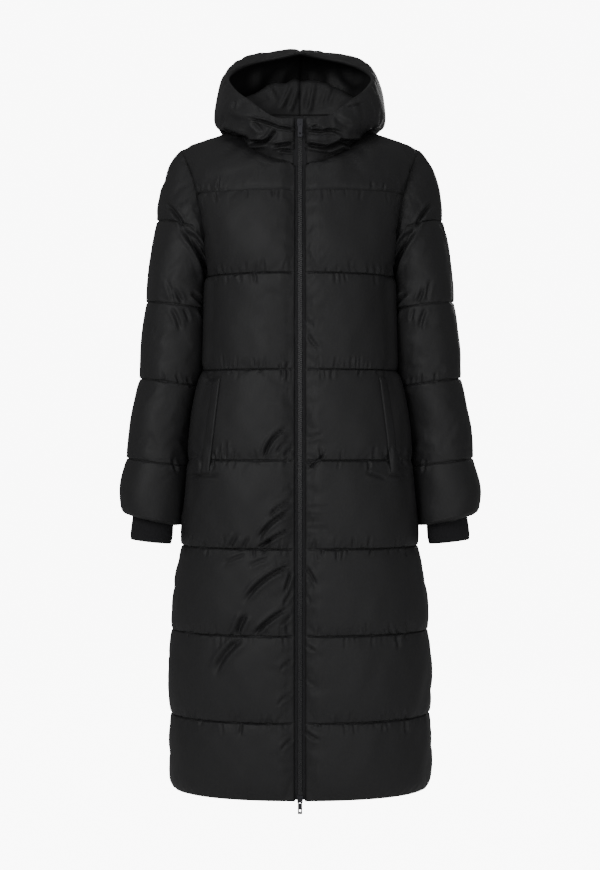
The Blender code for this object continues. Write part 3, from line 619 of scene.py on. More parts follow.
def sleeve_form():
    """Form, directions, fill and pins of the left sleeve."""
    loop = armhole_loop()
    angles = np.linspace(0, 2 * math.pi, SLEEVE_COLUMNS, endpoint=False)
    seam, present = cap_seam_shares(loop, angles)
    rows, fills, pins = [], [], []
    share = channel_steps(SLEEVE_ROWS)[:-1]
    swell = np.sin(math.pi * share**1.2) ** 0.6
    for step, full in zip(share, swell):
        rows.append(sleeve_cap(loop, angles, step * seam))
        fills.append(full + (1 - present) * (0.8 * ease(0.5, 1.0, np.full_like(angles, step)) - 0.2 * full))
        pins.append(np.full_like(angles, step == 0))
    for step, full in zip(share, swell):
        rows.append(sleeve_cap(loop, angles, seam + step * (1 - seam)))
        fills.append(full + (1 - present) * (1 - full) * 0.8 * ease(0.6, 0.0, np.full_like(angles, step)))
        pins.append(present > 0.5 if step == 0 else np.zeros_like(angles))
    blunt = np.sin(math.pi * share**2.4) ** 0.35
    for top, bottom in zip(SLEEVE_SEAMS, SLEEVE_SEAMS[1:]):
        for step, full in zip(share, blunt if bottom == SLEEVE_SEAMS[-1] else swell):
            rows.append(sleeve_ring(top + step * (bottom - top), angles))
            fills.append(np.full_like(angles, full))
            pins.append(np.full_like(angles, step == 0))
    tuck = cuff_ring(SLEEVE_TUCK, angles, -SEAM_LAP)
    end = sleeve_ring(SLEEVE_END, angles)
    for step in (0.0, 0.35, 0.7, 1.0):
        rows.append(end + (tuck - end) * step)
        fills.append(np.full_like(angles, 0.5 * (1 - step)))
        pins.append(np.full_like(angles, step == 1.0))
    form = np.array(rows)
    out = -normals(form, closed=True)
    out[0] = [armhole_direction(point) for point in loop]
    out[-1] = (0, 0, -1)
    form[0] -= (SEAM_LAP, 0, 0)
    inner_side = 0.6 + 0.4 * np.clip(-np.cos(angles) * 1.6 + 0.2, -1, 1)
    return form, out, np.array(fills) * inner_side, np.array(pins, float)


def sew_panels():
    """Starts the cloth of every quilted panel. Both panels of a pair start on the left side's form."""
    form, out, fill, pins = body_half(-1, spread(FRONT_COLUMNS))
    for side, seed in (("left", 3), ("right", 8)):
        sew(f"front_{side}", form, out, fill, BODY_PUFF, pins, seed=seed, raised=0.4)
    form, out, fill, pins = body_half(1, np.linspace(0, 1, BACK_COLUMNS + 1))
    form, out = [np.concatenate([mirrored(side[:, :0:-1]), side], axis=1) for side in (form, out)]
    fill, pins = [np.concatenate([side[:, :0:-1], side], axis=1) for side in (fill, pins)]
    sew("back", form, out, fill, BODY_PUFF, pins, seed=5, raised=0.4)
    form, out, fill, pins = sleeve_form()
    for side, seed in (("left", 13), ("right", 21)):
        sew(f"sleeve_{side}", form, out, fill, SLEEVE_PUFF, pins, closed=True, seed=seed, raised=0.55)
    form, out, fill, pins = hood_half()
    for side, seed in (("left", 31), ("right", 37)):
        sew(f"hood_{side}", form, out, fill, HOOD_PUFF, pins, seed=seed)


def overhang(panel, across):
    """How far the edge bulges over the zip's tape: a wide bell where it is filled, and a narrow one."""
    aside = across - FRONT_EDGE
    over = np.exp(-((aside / OVERHANG_WIDTH) ** 2)) * finer(panel.fill, False).clip(0, 1)
    return OVERHANG * np.maximum(over, np.exp(-((aside / OVERHANG_EDGE) ** 2)))


def make_panels():
    """Blows the sewn panels out, presses grooves and folds into them and closes them into walls."""
    for name, shape in blow_out().items():
        panel = PANELS[name]
        outer = finer(shape, panel.closed)
        out = unit(finer(panel.out, panel.closed))
        free = finer(1 - panel.pins, panel.closed).clip(0, 1)[..., None]
        outer = outer - out * (GROOVE_DEPTH * grooves(panel) * inward(outer, panel.closed, 0.004))[..., None]
        sign = -1 if name.endswith("right") else 1
        soft = SOFT_HEIGHT * ripples(outer * (sign, 1, 0.6), len(name) + sign, SOFT_SIZE)
        outer = outer + out * soft[..., None] * free * inward(outer, panel.closed, 0.012)[..., None]
        folds = FOLDS.get(name, []) + puckers(name)
        outer = outer + out * (fold_depth(folds, outer * (sign, 1, 1))[..., None] * free)
        inner = panel.lining - panel.out * WALL
        shift = press_aside(name, outer)
        outer[..., 0] += shift
        if name.startswith("sleeve"):
            inner[..., 0] += shift[::2, ::2]
        if name.startswith("hood"):
            inner = line_hood(name, inner, panel.out)
        if name.startswith("front"):
            make_welt(name[6:], sign, outer, out)
        if name.startswith(("front", "hood")):
            outer[..., 0] -= overhang(panel, outer[..., 0])
        made = add_wall(name + ".cloth", outer * (sign, 1, 1), inner * (sign, 1, 1), panel.closed)
        finish_piece(made, SHELL, name)


def grooves(panel):
    """1 on a panel's quilt seams, falling away either side of them as a bell."""
    lines = finer(panel.form, panel.closed)
    along = np.linalg.norm(np.diff(lines, axis=0), axis=2)
    along = np.concatenate([np.zeros((1, lines.shape[1])), np.cumsum(along, axis=0)])
    pins = finer(panel.pins, panel.closed)
    found = np.zeros(lines.shape[:2])
    for row in np.flatnonzero(panel.pins.mean(axis=1) > 0.3)[1:-1] * 2:
        bell = np.exp(-(((along - along[row]) / GROOVE_WIDTH) ** 2))
        found = np.maximum(found, bell * pins[row].clip(0, 1))
    return found


WELT_TOP, WELT_BOTTOM = -0.456, -0.620
WELT_TOP_X, WELT_BOTTOM_X, WELT_WIDTH = 0.1335, 0.1530, 0.019


def along_line(places, line):
    """Points at fractional places along a line of points."""
    return np.stack([np.interp(places, np.arange(len(line)), line[:, axis]) for axis in range(3)], axis=1)


def make_welt(side, sign, front, out):
    """A padded strip on the front's face along the pocket mouth: highest at the fold by the mouth, nothing at
    its sewn edge, and carried straight over the groove that it crosses."""
    heights = front[:, front.shape[1] // 2, 2]
    crests = np.flatnonzero(np.abs(heights - SEAMS[POCKET_SEAM]) > 0.017)
    crests = crests[np.argsort(heights[crests])]
    wide = np.linspace(0, 1, 15)
    over, under = [], []
    for height in np.linspace(WELT_BOTTOM, WELT_TOP, 49):
        place = np.interp(height, heights[crests], np.arange(len(crests)))
        low = crests[int(place)], crests[min(int(place) + 1, len(crests) - 1)]
        line = front[low[0]] + (front[low[1]] - front[low[0]]) * (place % 1)
        away = unit(out[low[0]] + (out[low[1]] - out[low[0]]) * (place % 1))
        edge = np.interp(height, [WELT_BOTTOM, WELT_TOP], [WELT_BOTTOM_X, WELT_TOP_X])
        start = np.interp(edge, line[:, 0], np.arange(len(line)))
        step = np.linalg.norm(line[int(start) + 1] - line[int(start)])
        wanted = start + wide * WELT_WIDTH / step
        at = along_line(wanted, line)
        away = unit(along_line(wanted, away))
        rise = (height - WELT_BOTTOM) / (WELT_TOP - WELT_BOTTOM)
        end = ease(0, 0.05, rise) * ease(1, 0.95, rise)
        crown = 0.0028 * (1 - wide**1.6) * np.clip(wide / 0.10 + 0.35, 0, 1) ** 0.5
        lift = 0.0008 + crown * (0.3 + 0.7 * end)
        over.append(at + away * lift[:, None])
        under.append((at - away * 0.0008)[::2])
    over, under = np.array(over), np.array(under)[::2]
    made = add_wall(f"pocket_welt_{side}.cloth", over * (sign, 1, 1), under * (sign, 1, 1))
    finish_piece(made, SHELL, f"pocket_welt_{side}")


RIBS = 84
CUFF_END, CUFF_TOP = -0.7460, -0.6950


def make_cuffs():
    """Rib-knit tubes: each ring goes in and out by a rounded wave for its ribs; the end is a little skew."""
    angles = np.linspace(0, 2 * math.pi, RIBS * 6, endpoint=False)
    wave = np.abs(np.cos(angles * RIBS / 2)) ** 0.7 - 0.6
    skew = 0.0020 + 0.0080 * (1 - np.cos(angles)) / 2
    for side, sign in (("left", 1), ("right", -1)):
        rings = []
        for step in np.linspace(0, 1, 17):
            height = CUFF_TOP + (CUFF_END - CUFF_TOP) * step
            swell = 0.0009 * np.sin(math.pi * step) + 0.0004 * ease(0.9, 1.0, step)
            ring = cuff_ring(height, angles, swell)
            away = unit((ring - ring.mean(axis=0)) * (1, 1, 0))
            ring = ring + away * (0.0006 * wave * ease(1.0, 0.97, step))[:, None]
            lean = np.zeros_like(ring)
            lean[:, 0], lean[:, 2] = 0.0035 * step, skew * step
            rings.append(ring + lean)
        outer = np.array(rings)
        away = unit((outer - outer.mean(axis=1, keepdims=True)) * (1, 1, 0))
        inner = (outer - away * 0.0024)[::2, ::2]
        made = add_wall(f"cuff_{side}.cloth", outer * (sign, 1, 1), inner * (sign, 1, 1), True)
        finish_piece(made, RIB_KNIT, f"cuff_{side}")


# ---------------------------------------------------------------- the zip

CHAIN_TOP, CHAIN_BOTTOM, TOOTH_PITCH = -0.0355, -1.1535, 0.0033
CHAIN_STANDS = 0.0016  # how far the face of the teeth lies in front of the body's levels


def chain_face(heights):
    """Where the face of the teeth lies from front to back."""
    return -level(heights, "front") - CHAIN_STANDS


def zip_cord():
    """The flat cord that fills the slot behind the teeth: a rectangle carried up the zip."""
    heights = np.linspace(CHAIN_BOTTOM - 0.0026, CHAIN_TOP + 0.0010, 160)
    x, y = np.array([(-0.0037, 0.0017), (0.0037, 0.0017), (0.0037, 0.0030), (-0.0037, 0.0030)]).T
    front = chain_face(heights)
    points = np.stack(np.broadcast_arrays(x, front[:, None] + y, heights[:, None]), axis=2).reshape(-1, 3)
    caps = np.array([[3, 2, 1, 0], [0, 1, 2, 3]]) + np.array([[0], [len(points) - 4]])
    return points, np.concatenate([grid_quads(len(heights), 4, closed=True), caps])


def make_teeth():
    """Moulded teeth, one mesh: chamfered blocks reaching past the centre line from either side in turn."""
    heights = np.arange(CHAIN_BOTTOM + 0.002, CHAIN_TOP - 0.001, TOOTH_PITCH / 2)
    side = np.where(np.arange(len(heights)) % 2, 1.0, -1.0)
    low_x, high_x, half = -0.0010, 0.0040, 0.00138
    rings = []
    for inset, depth in ((0.0, 0.0030), (0.0, 0.0007), (0.0006, 0.0)):
        x = np.array([low_x + inset, high_x - inset, high_x - inset, low_x + inset])
        z = np.array([-half + inset, -half + inset, half - inset, half - inset])
        rings.append(np.stack([x, np.full(4, depth), z], axis=1))
    tooth = np.concatenate(rings)
    front = chain_face(heights)
    points = tooth[None] * np.stack([side, np.ones_like(side), np.ones_like(side)], axis=1)[:, None]
    points = points + np.stack([0 * front, front, heights], axis=1)[:, None]
    corner, after = np.arange(4), (np.arange(4) + 1) % 4
    wall = np.stack([corner, after, 4 + after, 4 + corner], axis=1)
    block = np.concatenate([wall, wall + 4, [[3, 2, 1, 0], [8, 9, 10, 11]]])
    quads = block[None] + 12 * np.arange(len(heights))[:, None, None]
    quads = np.where(side[:, None, None] > 0, quads, quads[:, :, ::-1])
    core, core_quads = zip_cord()
    quads = np.concatenate([quads.reshape(-1, 4), core_quads + points.size // 3])
    made = add_mesh("zip_teeth", np.concatenate([points.reshape(-1, 3), core]), quads, smoothly=False)
    finish_piece(made, TEETH, "zip_chain")


# Where the arm hangs against the body both are pressed to one face: its height and its x at y = 0.
PRESSED = np.array([
    (-0.760, 0.2020), (-0.700, 0.1990), (-0.660, 0.1935), (-0.630, 0.1915), (-0.600, 0.1890),
    (-0.569, 0.1875), (-0.541, 0.1850), (-0.511, 0.1815), (-0.4815, 0.1765), (-0.460, 0.1710),
    (-0.441, 0.1645), (-0.394, 0.1638), (-0.319, 0.1622), (-0.283, 0.1605),
])
PRESSED_SLANT = 0.10
PRESSED_GAP = 0.0003  # from that face to the cloth on either side of it


def press_aside(name, points):
    """How far each point moves in x so that sleeve and body meet at one face, a gap each side of it. What
    is past the face moves back to it, and what is near it on its own side is drawn towards it."""
    x, y, height = points[..., 0], points[..., 1], points[..., 2]
    face = np.interp(height, PRESSED[:, 0], PRESSED[:, 1]) - PRESSED_SLANT * y
    along = ease(-0.275, -0.290, height) * ease(-0.692, -0.660, height)
    if name.startswith("sleeve"):
        gap = x - (face + PRESSED_GAP)
        near = ease(0.065, 0.030, np.abs(y - 0.015)) * ease(0.035, 0.012, gap)
        return np.where(gap > 0, -gap * near * along, -gap * (along > 0))
    if name.startswith("hood"):
        return np.zeros_like(x)
    gap = (face - PRESSED_GAP) - np.abs(x)
    near = ease(0.080, 0.030, np.abs(y + 0.01)) * ease(0.030, 0.012, gap)
    beside_seams = [place for seam in SEAMS[1:] for place in (seam - 0.010, seam, seam + 0.012)]
    full = np.interp(height, [HEM] + beside_seams, [1] + [1, 0.35, 1] * (len(SEAMS) - 1))
    return np.sign(x) * np.where(gap > 0, gap * near * along * full, gap * (along > 0) * (np.abs(y) < 0.08))


def line_hood(name, inner, out):
    """The hood's inner face: a facing round the rim, and the lining behind it, loose and pleated."""
    share = np.linspace(0, 1, len(inner))[:, None]
    loose = ease(0.0, 0.08, share) * ease(0.80, 0.74, share)
    facing = ease(0.80, 0.83, share) * ease(1.0, 0.97, share)
    seed = 3 if name.endswith("left") else 9
    swell = 0.0035 + 0.0024 * ripples(inner, seed, 0.060) + 0.0005 * ripples(inner, seed + 1, 0.020)
    sign = -1 if name.endswith("right") else 1
    edge = edge_fill(np.linspace(0, 1, inner.shape[1]), 0.04)[None]
    depth = swell * loose * edge + 0.003 * facing - fold_depth(LINING_FOLDS, inner * (sign, 1, 1)) * loose
    return inner - out * depth[..., None]


HOOD_ROWS, HOOD_COLUMNS = 78, 80


def hood_half():
    """Form, directions, fill and pins of the hood's left half."""
    shares = channel_steps(HOOD_ROWS)
    angles = np.linspace(FIRST_ANGLE, math.pi, HOOD_COLUMNS + 1)
    form = hood_form(shares, angles)
    out = normals(form)
    out[:, [0, -1]] = unit(out[:, [0, -1]] * (0, 1, 1))
    out[0] = unit(np.stack([np.sin(angles), -np.cos(angles), 0.5 + 0 * angles], axis=1))
    out[0, 0] = unit(np.array([0, -1, 0.5]))
    form[0] -= (0, 0, SEAM_LAP)
    form[:, -1, 0] = -SEAM_LAP
    fill = channel_fill(HOOD_ROWS, 1, sag=1.0)[:, None]
    fill = fill * edge_fill(np.linspace(0, 1, HOOD_COLUMNS + 1), 0.05)[None]
    fill = fill * (0.35 + 0.65 * ease(0.0, 0.3, shares))[:, None]
    pins = np.zeros(form.shape[:2])
    pins[[0, -1]] = 1
    pins[:, [0, -1]] = 1
    return form, out, fill, pins


# ---------------------------------------------------------------- folds

# Folds of the fronts, hood, lining and sleeves: each runs from one place to another as seen from the front
# (x, height), and has how far it bows aside, its half width and its depth. x is below zero on the wearer's
# right.
Fold = namedtuple("Fold", "x height to_x to_height bow width depth")


def make_folds(*rows):
    """Folds from rows of their numbers."""
    return [Fold(*row) for row in rows]


FRONT_FOLDS = make_folds(
    (-0.0190, -0.5430, -0.0600, -0.5940, 0.009, 0.0030, 0.0078),
    (-0.0150, -0.5610, -0.0400, -0.5860, 0.003, 0.0024, 0.0042),
    (-0.0120, -0.5770, -0.0280, -0.5900, 0.001, 0.0022, 0.0036),
    (-0.0130, -0.6400, -0.0300, -0.6500, 0.001, 0.0022, 0.0030),
    (-0.0130, -0.6640, -0.0526, -0.6910, 0.003, 0.0028, 0.0065),
    (-0.0140, -0.6810, -0.0700, -0.7280, 0.006, 0.0032, 0.0084),
    (-0.0130, -0.7110, -0.0660, -0.7420, 0.003, 0.0026, 0.0070),
    (-0.0450, -0.7280, -0.0720, -0.7440, 0.001, 0.0022, 0.0040),
    (-0.0850, -0.7260, -0.0960, -0.7450, 0.001, 0.0030, 0.0036),
    (-0.1060, -0.7220, -0.1180, -0.7440, 0.001, 0.0036, 0.0044),
    (-0.0130, -0.7720, -0.0940, -0.8330, 0.009, 0.0034, 0.0090),
    (-0.0140, -0.7830, -0.0260, -0.8160, 0.000, 0.0024, 0.0050),
    (-0.0140, -0.8150, -0.0280, -0.8370, 0.000, 0.0024, 0.0048),
    (-0.0520, -0.7600, -0.0860, -0.7740, 0.001, 0.0028, 0.0036),
    (-0.0900, -0.7540, -0.1300, -0.7700, 0.001, 0.0026, 0.0034),
    (-0.0160, -0.8410, -0.0780, -0.8890, 0.004, 0.0032, 0.0080),
    (-0.0140, -0.8560, -0.0340, -0.8730, 0.000, 0.0022, 0.0044),
    (-0.0900, -0.8540, -0.1060, -0.8900, 0.002, 0.0046, 0.0080),
    (-0.0960, -0.8950, -0.1430, -0.9530, 0.006, 0.0050, 0.0070),
    (-0.0110, -0.9300, -0.0340, -0.9460, 0.002, 0.0026, 0.0044),
    (-0.0110, -0.9850, -0.0380, -1.0040, 0.003, 0.0026, 0.0044),
    (-0.0110, -1.0620, -0.0320, -1.0780, 0.002, 0.0026, 0.0044),
    (0.0100, -0.3620, 0.0240, -0.3720, 0.001, 0.0024, 0.0036),
    (0.0120, -0.3850, 0.0340, -0.4120, 0.002, 0.0028, 0.0044),
    (0.0105, -0.5590, 0.0380, -0.5530, 0.001, 0.0026, 0.0054),
    (0.0440, -0.5830, 0.0130, -0.6140, 0.000, 0.0018, 0.0046),
    (0.0105, -0.5960, 0.0200, -0.6080, 0.000, 0.0024, 0.0040),
    (0.0105, -0.6767, 0.0482, -0.6775, 0.000, 0.0019, 0.0036),
    (0.0100, -0.7010, 0.0240, -0.6980, 0.000, 0.0022, 0.0042),
    (0.0100, -0.7120, 0.0460, -0.7100, 0.000, 0.0024, 0.0024),
    (0.0095, -0.7733, 0.0270, -0.8030, 0.000, 0.0026, 0.0062),
    (0.0095, -0.7860, 0.0230, -0.8100, 0.000, 0.0020, 0.0044),
    (0.0095, -0.8200, 0.0180, -0.8330, 0.000, 0.0020, 0.0036),
    (0.0090, -0.9050, 0.0260, -0.9140, 0.001, 0.0024, 0.0040),
    (0.0090, -0.9600, 0.0280, -0.9720, 0.001, 0.0024, 0.0040),
    (0.0080, -1.0470, 0.0340, -1.0620, 0.003, 0.0028, 0.0050),
    (0.1650, -0.8780, 0.1655, -0.9150, 0.000, 0.0028, 0.0040),
    (0.1790, -1.0240, 0.1790, -1.0600, 0.000, 0.0028, 0.0040),
    (-0.1250, -0.5650, -0.1260, -0.5960, 0.000, 0.0028, 0.0036),
    (-0.1380, -0.4610, -0.1600, -0.4615, 0.000, 0.0021, 0.0050),
    (-0.1350, -0.6235, -0.1880, -0.6260, 0.001, 0.0023, 0.0066),
    (0.1100, -0.6180, 0.1460, -0.6285, 0.000, 0.0023, 0.0052),
    (0.1500, -0.6235, 0.1720, -0.6235, 0.000, 0.0021, 0.0062),
)
HOOD_RIGHT_FOLDS = make_folds(
    (-0.148, -0.0200, -0.085, -0.0551, -0.002, 0.0036, 0.0120),
    (-0.090, -0.0540, -0.055, -0.0585, 0.001, 0.0032, 0.0120),
    (-0.060, -0.0590, -0.042, -0.0396, 0.002, 0.0028, 0.0090),
    (-0.088, -0.0190, -0.034, -0.0362, -0.002, 0.0021, 0.0060),
    (-0.040, -0.0352, -0.010, -0.0396, 0.000, 0.0019, 0.0060),
    (-0.0475, -0.0666, -0.0105, -0.0615, 0.001, 0.0024, 0.0070),
    (-0.0375, -0.0730, -0.0110, -0.0755, 0.000, 0.0021, 0.0050),
    (-0.1118, 0.0160, -0.1135, 0.0005, 0.000, 0.0024, 0.0036),
    (-0.1270, -0.0035, -0.0830, -0.0220, 0.008, 0.0064, 0.0040),
    (-0.0820, -0.0220, -0.0640, -0.0420, 0.000, 0.0036, 0.0044),
)
HOOD_LEFT_FOLDS = make_folds(
    (0.010, -0.0405, 0.040, -0.0435, 0.000, 0.0024, 0.0072),
    (0.036, -0.0430, 0.070, -0.0450, -0.004, 0.0024, 0.0068),
    (0.012, -0.0396, 0.031, -0.0320, 0.000, 0.0019, 0.0036),
    (0.010, -0.0640, 0.048, -0.0690, 0.001, 0.0029, 0.0104),
    (0.042, -0.0700, 0.073, -0.0530, 0.002, 0.0032, 0.0120),
    (0.066, -0.0560, 0.104, -0.0500, 0.003, 0.0040, 0.0130),
    (0.100, -0.0510, 0.148, -0.0270, 0.003, 0.0036, 0.0120),
    (0.080, 0.0020, 0.108, 0.0100, 0.000, 0.0019, 0.0026),
    (0.060, -0.0150, 0.090, -0.0330, 0.004, 0.0056, 0.0040),
)
LINING_FOLDS = make_folds(
    (0.0480, 0.1080, 0.0900, 0.0700, 0.006, 0.0090, 0.0080),
    (0.0780, 0.1120, 0.1180, 0.0800, 0.006, 0.0080, 0.0075),
    (0.0200, 0.1160, 0.0270, 0.0800, 0.000, 0.0080, 0.0060),
    (-0.0300, 0.1180, -0.0450, 0.0800, 0.000, 0.0080, 0.0060),
    (-0.0700, 0.1120, -0.0860, 0.0720, 0.000, 0.0080, 0.0060),
    (-0.0600, 0.0700, -0.0420, 0.0450, 0.000, 0.0035, 0.0042),
    (-0.0140, 0.0720, -0.0360, 0.0250, 0.000, 0.0030, 0.0048),
    (-0.0020, 0.0700, -0.0190, 0.0180, 0.000, 0.0030, 0.0048),
    (0.0260, 0.0740, 0.0160, 0.0180, 0.000, 0.0034, 0.0066),
    (0.0550, 0.0660, 0.0440, 0.0330, 0.000, 0.0035, 0.0042),
)
SLEEVE_FOLDS = make_folds(
    (0.2290, -0.1540, 0.1990, -0.2000, 0.003, 0.0034, 0.0070),
    (0.2000, -0.1990, 0.1590, -0.2960, 0.008, 0.0042, 0.0110),
    (0.1890, -0.2060, 0.1610, -0.2490, 0.004, 0.0034, 0.0080),
    (0.1800, -0.2180, 0.1640, -0.2720, 0.003, 0.0048, 0.0050),
    (0.2130, -0.3030, 0.2010, -0.3300, 0.001, 0.0030, 0.0052),
    (0.2260, -0.2900, 0.2180, -0.3270, 0.003, 0.0030, 0.0034),
    (0.1820, -0.3110, 0.1600, -0.3370, 0.001, 0.0034, 0.0064),
    (0.2160, -0.3370, 0.2040, -0.3770, 0.002, 0.0034, 0.0046),
    (0.1690, -0.3380, 0.1610, -0.3640, 0.001, 0.0030, 0.0056),
    (0.1950, -0.3380, 0.1900, -0.3600, 0.001, 0.0026, 0.0034),
    (0.2320, -0.4470, 0.2310, -0.4680, 0.000, 0.0022, 0.0034),
    (0.2080, -0.4500, 0.2050, -0.4700, 0.000, 0.0022, 0.0034),
    (0.1900, -0.4560, 0.1870, -0.4740, 0.000, 0.0022, 0.0030),
    (0.2150, -0.5960, 0.2110, -0.6200, 0.000, 0.0024, 0.0034),
    (0.1990, -0.5600, 0.1900, -0.6000, 0.002, 0.0050, 0.0040),
)
SLEEVE_RIGHT_FOLDS = [
    fold._replace(x=-fold.x - 0.004, to_x=-fold.to_x, bow=-fold.bow) for fold in SLEEVE_FOLDS
]
FOLDS = {
    "front_left": FRONT_FOLDS,
    "front_right": FRONT_FOLDS,
    "sleeve_left": SLEEVE_FOLDS,
    "sleeve_right": SLEEVE_RIGHT_FOLDS,
    "hood_left": HOOD_LEFT_FOLDS,
    "hood_right": HOOD_RIGHT_FOLDS,
}
PUCKERS, YOKE_PUCKERS, PUCKER_SPAN = 22, 12, 0.17  # how many there are in this much of a seam


def fold_depth(folds, points):
    """How far out the folds move each point, below zero in a trough: each is a trough with a low ridge on
    either side, fading at its ends."""
    depth = np.zeros(points.shape[:2])
    for fold in folds:
        start, end = np.array([fold.x, fold.height]), np.array([fold.to_x, fold.to_height])
        run = end - start
        length = np.linalg.norm(run)
        offset = points[..., [0, 2]] - start
        along = offset @ run / length**2
        aside = (offset[..., 0] * run[1] - offset[..., 1] * run[0]) / length
        aside = (aside - fold.bow * 4 * along * (1 - along)) / fold.width
        ridges = np.exp(-((aside - 1.9) ** 2)) + np.exp(-((aside + 1.9) ** 2))
        shape = np.exp(-(aside**2)) - 0.45 * ridges
        depth -= fold.depth * shape * ease(-0.05, 0.25, along) * ease(1.05, 0.75, along)
    return depth


def puckers(name):
    """Short upright puckers where a panel's cloth is gathered along its seams, drawn by a seed."""
    draw = np.random.default_rng(sum(map(ord, name)))
    sides = {"front_left": (0.015, 0.19), "front_right": (-0.19, -0.015), "back": (-0.19, 0.19)}
    if name not in sides:
        return []
    low, high = sides[name]
    found = []
    for seam in SEAMS[1:]:
        crowd = YOKE_PUCKERS if seam == YOKE else PUCKERS
        for x in draw.uniform(low, high, int(crowd * (high - low) / PUCKER_SPAN)):
            reach, lean = draw.uniform(0.006, 0.026), draw.uniform(-0.004, 0.004)
            width, deep = draw.uniform(0.0016, 0.0030), draw.uniform(0.0007, 0.0024)
            if draw.random() < 0.6:
                found.append(Fold(x, seam - 0.001, x + lean, seam + reach, 0.0, width, deep))
            else:
                found.append(Fold(x, seam + 0.001, x + lean, seam - reach * 0.8, 0.0, width, deep))
    return found


# ---------------------------------------------------------------- materials

def linear(hex_colour):
    """An sRGB hex colour as linear red, green, blue and alpha."""
    parts = np.array([int(hex_colour[i : i + 2], 16) / 255 for i in (1, 3, 5)])
    return (*np.where(parts <= 0.04045, parts / 12.92, ((parts + 0.055) / 1.055) ** 2.4), 1.0)


def add_node(material, kind, links=(), **settings):
    """Adds a node, sets its properties and input values, and links (input, node, output) triples into it."""
    node = material.node_tree.nodes.new(kind)
    for name, value in settings.items():
        if hasattr(node, name):
            setattr(node, name, value)
        else:
            node.inputs[name.replace("_", " ")].default_value = value
    for socket, source, output in links:
        material.node_tree.links.new(source.outputs[output], node.inputs[socket])
    return node


def new_material(name, colour, roughness, metallic=0.0, **inputs):
    """A material whose Principled shader has these values on its own sockets."""
    made = bpy.data.materials.new(name)
    made.use_nodes = True
    shader = made.node_tree.nodes["Principled BSDF"]
    values = {"Base Color": linear(colour), "Roughness": roughness, "Metallic": metallic, **inputs}
    for socket, value in values.items():
        shader.inputs[socket].default_value = value
    return made, shader


def polyester_taffeta():
    """Calendered polyester taffeta, pressed to a soft satin gloss: fine creases and a close plain weave."""
    made, shader = new_material("calendered_polyester", "#2a2a2b", 0.58, **{"Specular IOR Level": 0.35})
    place = add_node(made, "ShaderNodeTexCoord")
    tall = add_node(made, "ShaderNodeMapping", [("Vector", place, "Object")], Scale=(1.0, 1.0, 0.45))
    crumple = add_node(made, "ShaderNodeTexNoise", [("Vector", tall, "Vector")],
                       Scale=55.0, Detail=4.0, Roughness=0.55)
    fine = add_node(made, "ShaderNodeTexNoise", [("Vector", place, "Object")], Scale=420.0, Detail=2.0)
    soft = add_node(made, "ShaderNodeBump", [("Height", crumple, "Fac")], Strength=0.2, Distance=0.002)
    weave = add_node(made, "ShaderNodeBump", [("Height", fine, "Fac"), ("Normal", soft, "Normal")],
                     Strength=0.12, Distance=0.0006)
    made.node_tree.links.new(weave.outputs["Normal"], shader.inputs["Normal"])
    return made


def rib_knit():
    """Rib knit of dull spun yarn: no gloss, and a fine fuzz."""
    dull = {"Specular IOR Level": 0.15, "Sheen Weight": 0.1}
    made, shader = new_material("rib_knit", "#29292b", 0.9, **dull)
    place = add_node(made, "ShaderNodeTexCoord")
    fuzz = add_node(made, "ShaderNodeTexNoise", [("Vector", place, "Object")], Scale=900.0, Detail=2.0)
    bump = add_node(made, "ShaderNodeBump", [("Height", fuzz, "Fac")], Strength=0.3, Distance=0.0005)
    made.node_tree.links.new(bump.outputs["Normal"], shader.inputs["Normal"])
    return made


def woven_tape():
    """Woven polyester zip tape: matte, with fine upright cords."""
    made, shader = new_material("woven_polyester_tape", "#29292b", 0.75, **{"Specular IOR Level": 0.25})
    place = add_node(made, "ShaderNodeTexCoord")
    cords = add_node(made, "ShaderNodeTexWave", [("Vector", place, "Object")],
                     Scale=320.0, bands_direction="X")
    bump = add_node(made, "ShaderNodeBump", [("Height", cords, "Fac")], Strength=0.4, Distance=0.0004)
    made.node_tree.links.new(bump.outputs["Normal"], shader.inputs["Normal"])
    return made


SHELL = polyester_taffeta()
RIB_KNIT = rib_knit()
TAPE = woven_tape()
# Moulded acetal teeth, black and slightly glossy.
TEETH, _ = new_material("moulded_acetal", "#28282a", 0.3, **{"Specular IOR Level": 0.6})
# Die-cast zinc, plated dark and polished: the sliders and pulls show as grey edges.
PLATED, _ = new_material("gunmetal_plated_zinc", "#46464a", 0.3, 1.0)


def finish_piece(piece, material, node):
    """Gives a piece its finish and its place on the coat's body, and hides the CAD node that it stands for.
    """
    piece.data.materials.clear()
    piece.data.materials.append(material)
    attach(piece, "root")
    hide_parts(node)


def dress(node, material):
    """Gives a CAD node that keeps its mesh a better material."""
    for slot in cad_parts[node].material_slots:
        slot.material = material


sew_panels()
make_panels()
make_cuffs()
make_teeth()
for node in ("zip_tape_left", "zip_tape_right"):
    dress(node, TAPE)
for node in ("slider_top", "slider_bottom", "pull_top", "pull_bottom"):
    dress(node, PLATED)


# ---------------------------------------------------------------- stage, light and camera

CAMERA_DISTANCE, EYE_HEIGHT, LENS = 3.2, -0.555, 75.66  # the lens in millimetres
FLOOR_HEIGHT, FLOOR_REACH = -1.42, 60.0
GLOW = 9.0  # of floor and room, seen by the camera alone, so that they don't light the coat
ROOM_LIGHT = 0.18  # of the room on the coat


def glow_to_camera(owner, light):
    """A strength for light, with GLOW added where the camera looks straight at it."""
    sight = add_node(owner, "ShaderNodeLightPath")
    glow = add_node(owner, "ShaderNodeMath", [(0, sight, "Is Camera Ray")], operation="MULTIPLY_ADD")
    glow.inputs[1].default_value = GLOW
    glow.inputs[2].default_value = light
    return glow.outputs[0]


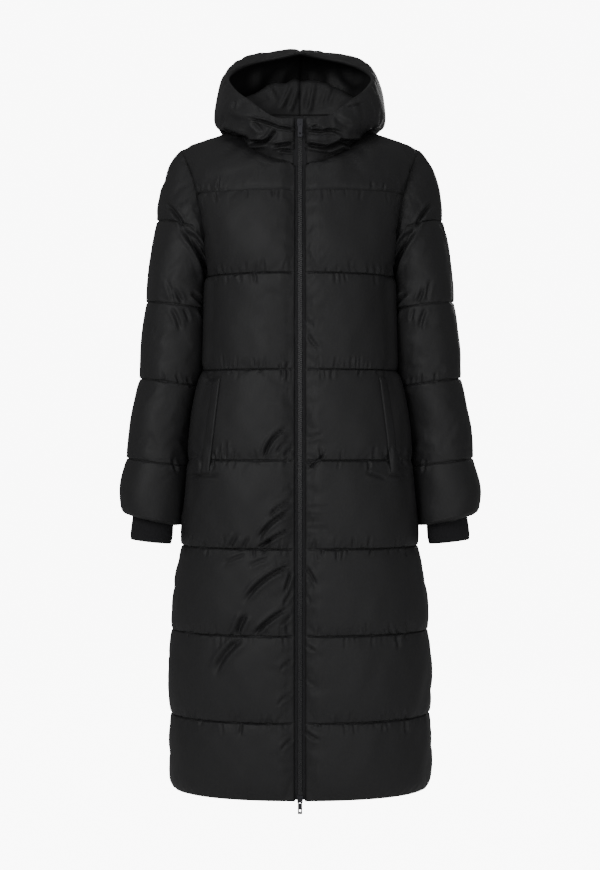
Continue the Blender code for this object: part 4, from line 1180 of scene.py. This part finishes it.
def make_stage():
    """A wide pale floor below the hem, as bright to the eye as the room round it."""
    corners = FLOOR_REACH * np.array([(-1.0, -1.0), (1.0, -1.0), (1.0, 1.0), (-1.0, 1.0)])
    floor = add_mesh("floor", np.column_stack([corners, np.full(4, FLOOR_HEIGHT)]), np.array([[0, 1, 2, 3]]))
    made, shader = new_material("painted_floor", "#f4f4f4", 0.9, **{"Emission Color": linear("#ffffff")})
    made.node_tree.links.new(glow_to_camera(made, 0.0), shader.inputs["Emission Strength"])
    floor.data.materials.append(made)
    world = bpy.data.worlds.new("studio")
    world.use_nodes = True
    room = world.node_tree.nodes["Background"]
    room.inputs["Color"].default_value = (1, 1, 1, 1)
    world.node_tree.links.new(glow_to_camera(world, ROOM_LIGHT), room.inputs["Strength"])
    bpy.context.scene.world = world


def add_light(name, place, aim, size, power):
    """A soft rectangular lamp at a place, turned to face its aim; its power is in watts."""
    lamp = bpy.data.lights.new(name, "AREA")
    lamp.shape = "RECTANGLE"
    lamp.size, lamp.size_y = size
    lamp.energy = power
    made = bpy.data.objects.new(name, lamp)
    made.location = place
    way = np.array(aim) - np.array(place)
    made.rotation_euler = (math.acos(way[2] / -np.linalg.norm(way)), 0, math.atan2(-way[0], way[1]))
    bpy.context.scene.collection.objects.link(made)


def make_camera():
    """A level camera straight in front of the coat."""
    lens = bpy.data.cameras.new("camera")
    lens.lens = LENS
    camera = bpy.data.objects.new("camera", lens)
    camera.location = (0, -CAMERA_DISTANCE, EYE_HEIGHT)
    camera.rotation_euler = (math.pi / 2, 0, 0)
    bpy.context.scene.collection.objects.link(camera)
    bpy.context.scene.camera = camera


make_stage()
add_light("key", (-1.5, -2.4, 0.5), (0, 0, -0.45), (1.0, 1.0), 20)
add_light("front", (-0.3, -3.1, -0.2), (0, 0, -0.4), (0.6, 1.2), 6)
add_light("fill", (1.4, -2.6, -0.5), (0, 0, -0.5), (1.2, 1.6), 8)
add_light("top", (-0.3, -1.0, 2.2), (0, 0, 0.0), (1.2, 0.8), 6)
add_light("behind", (0.9, 3.0, 0.6), (0, 0, -0.5), (1.4, 1.6), 28)
make_camera()
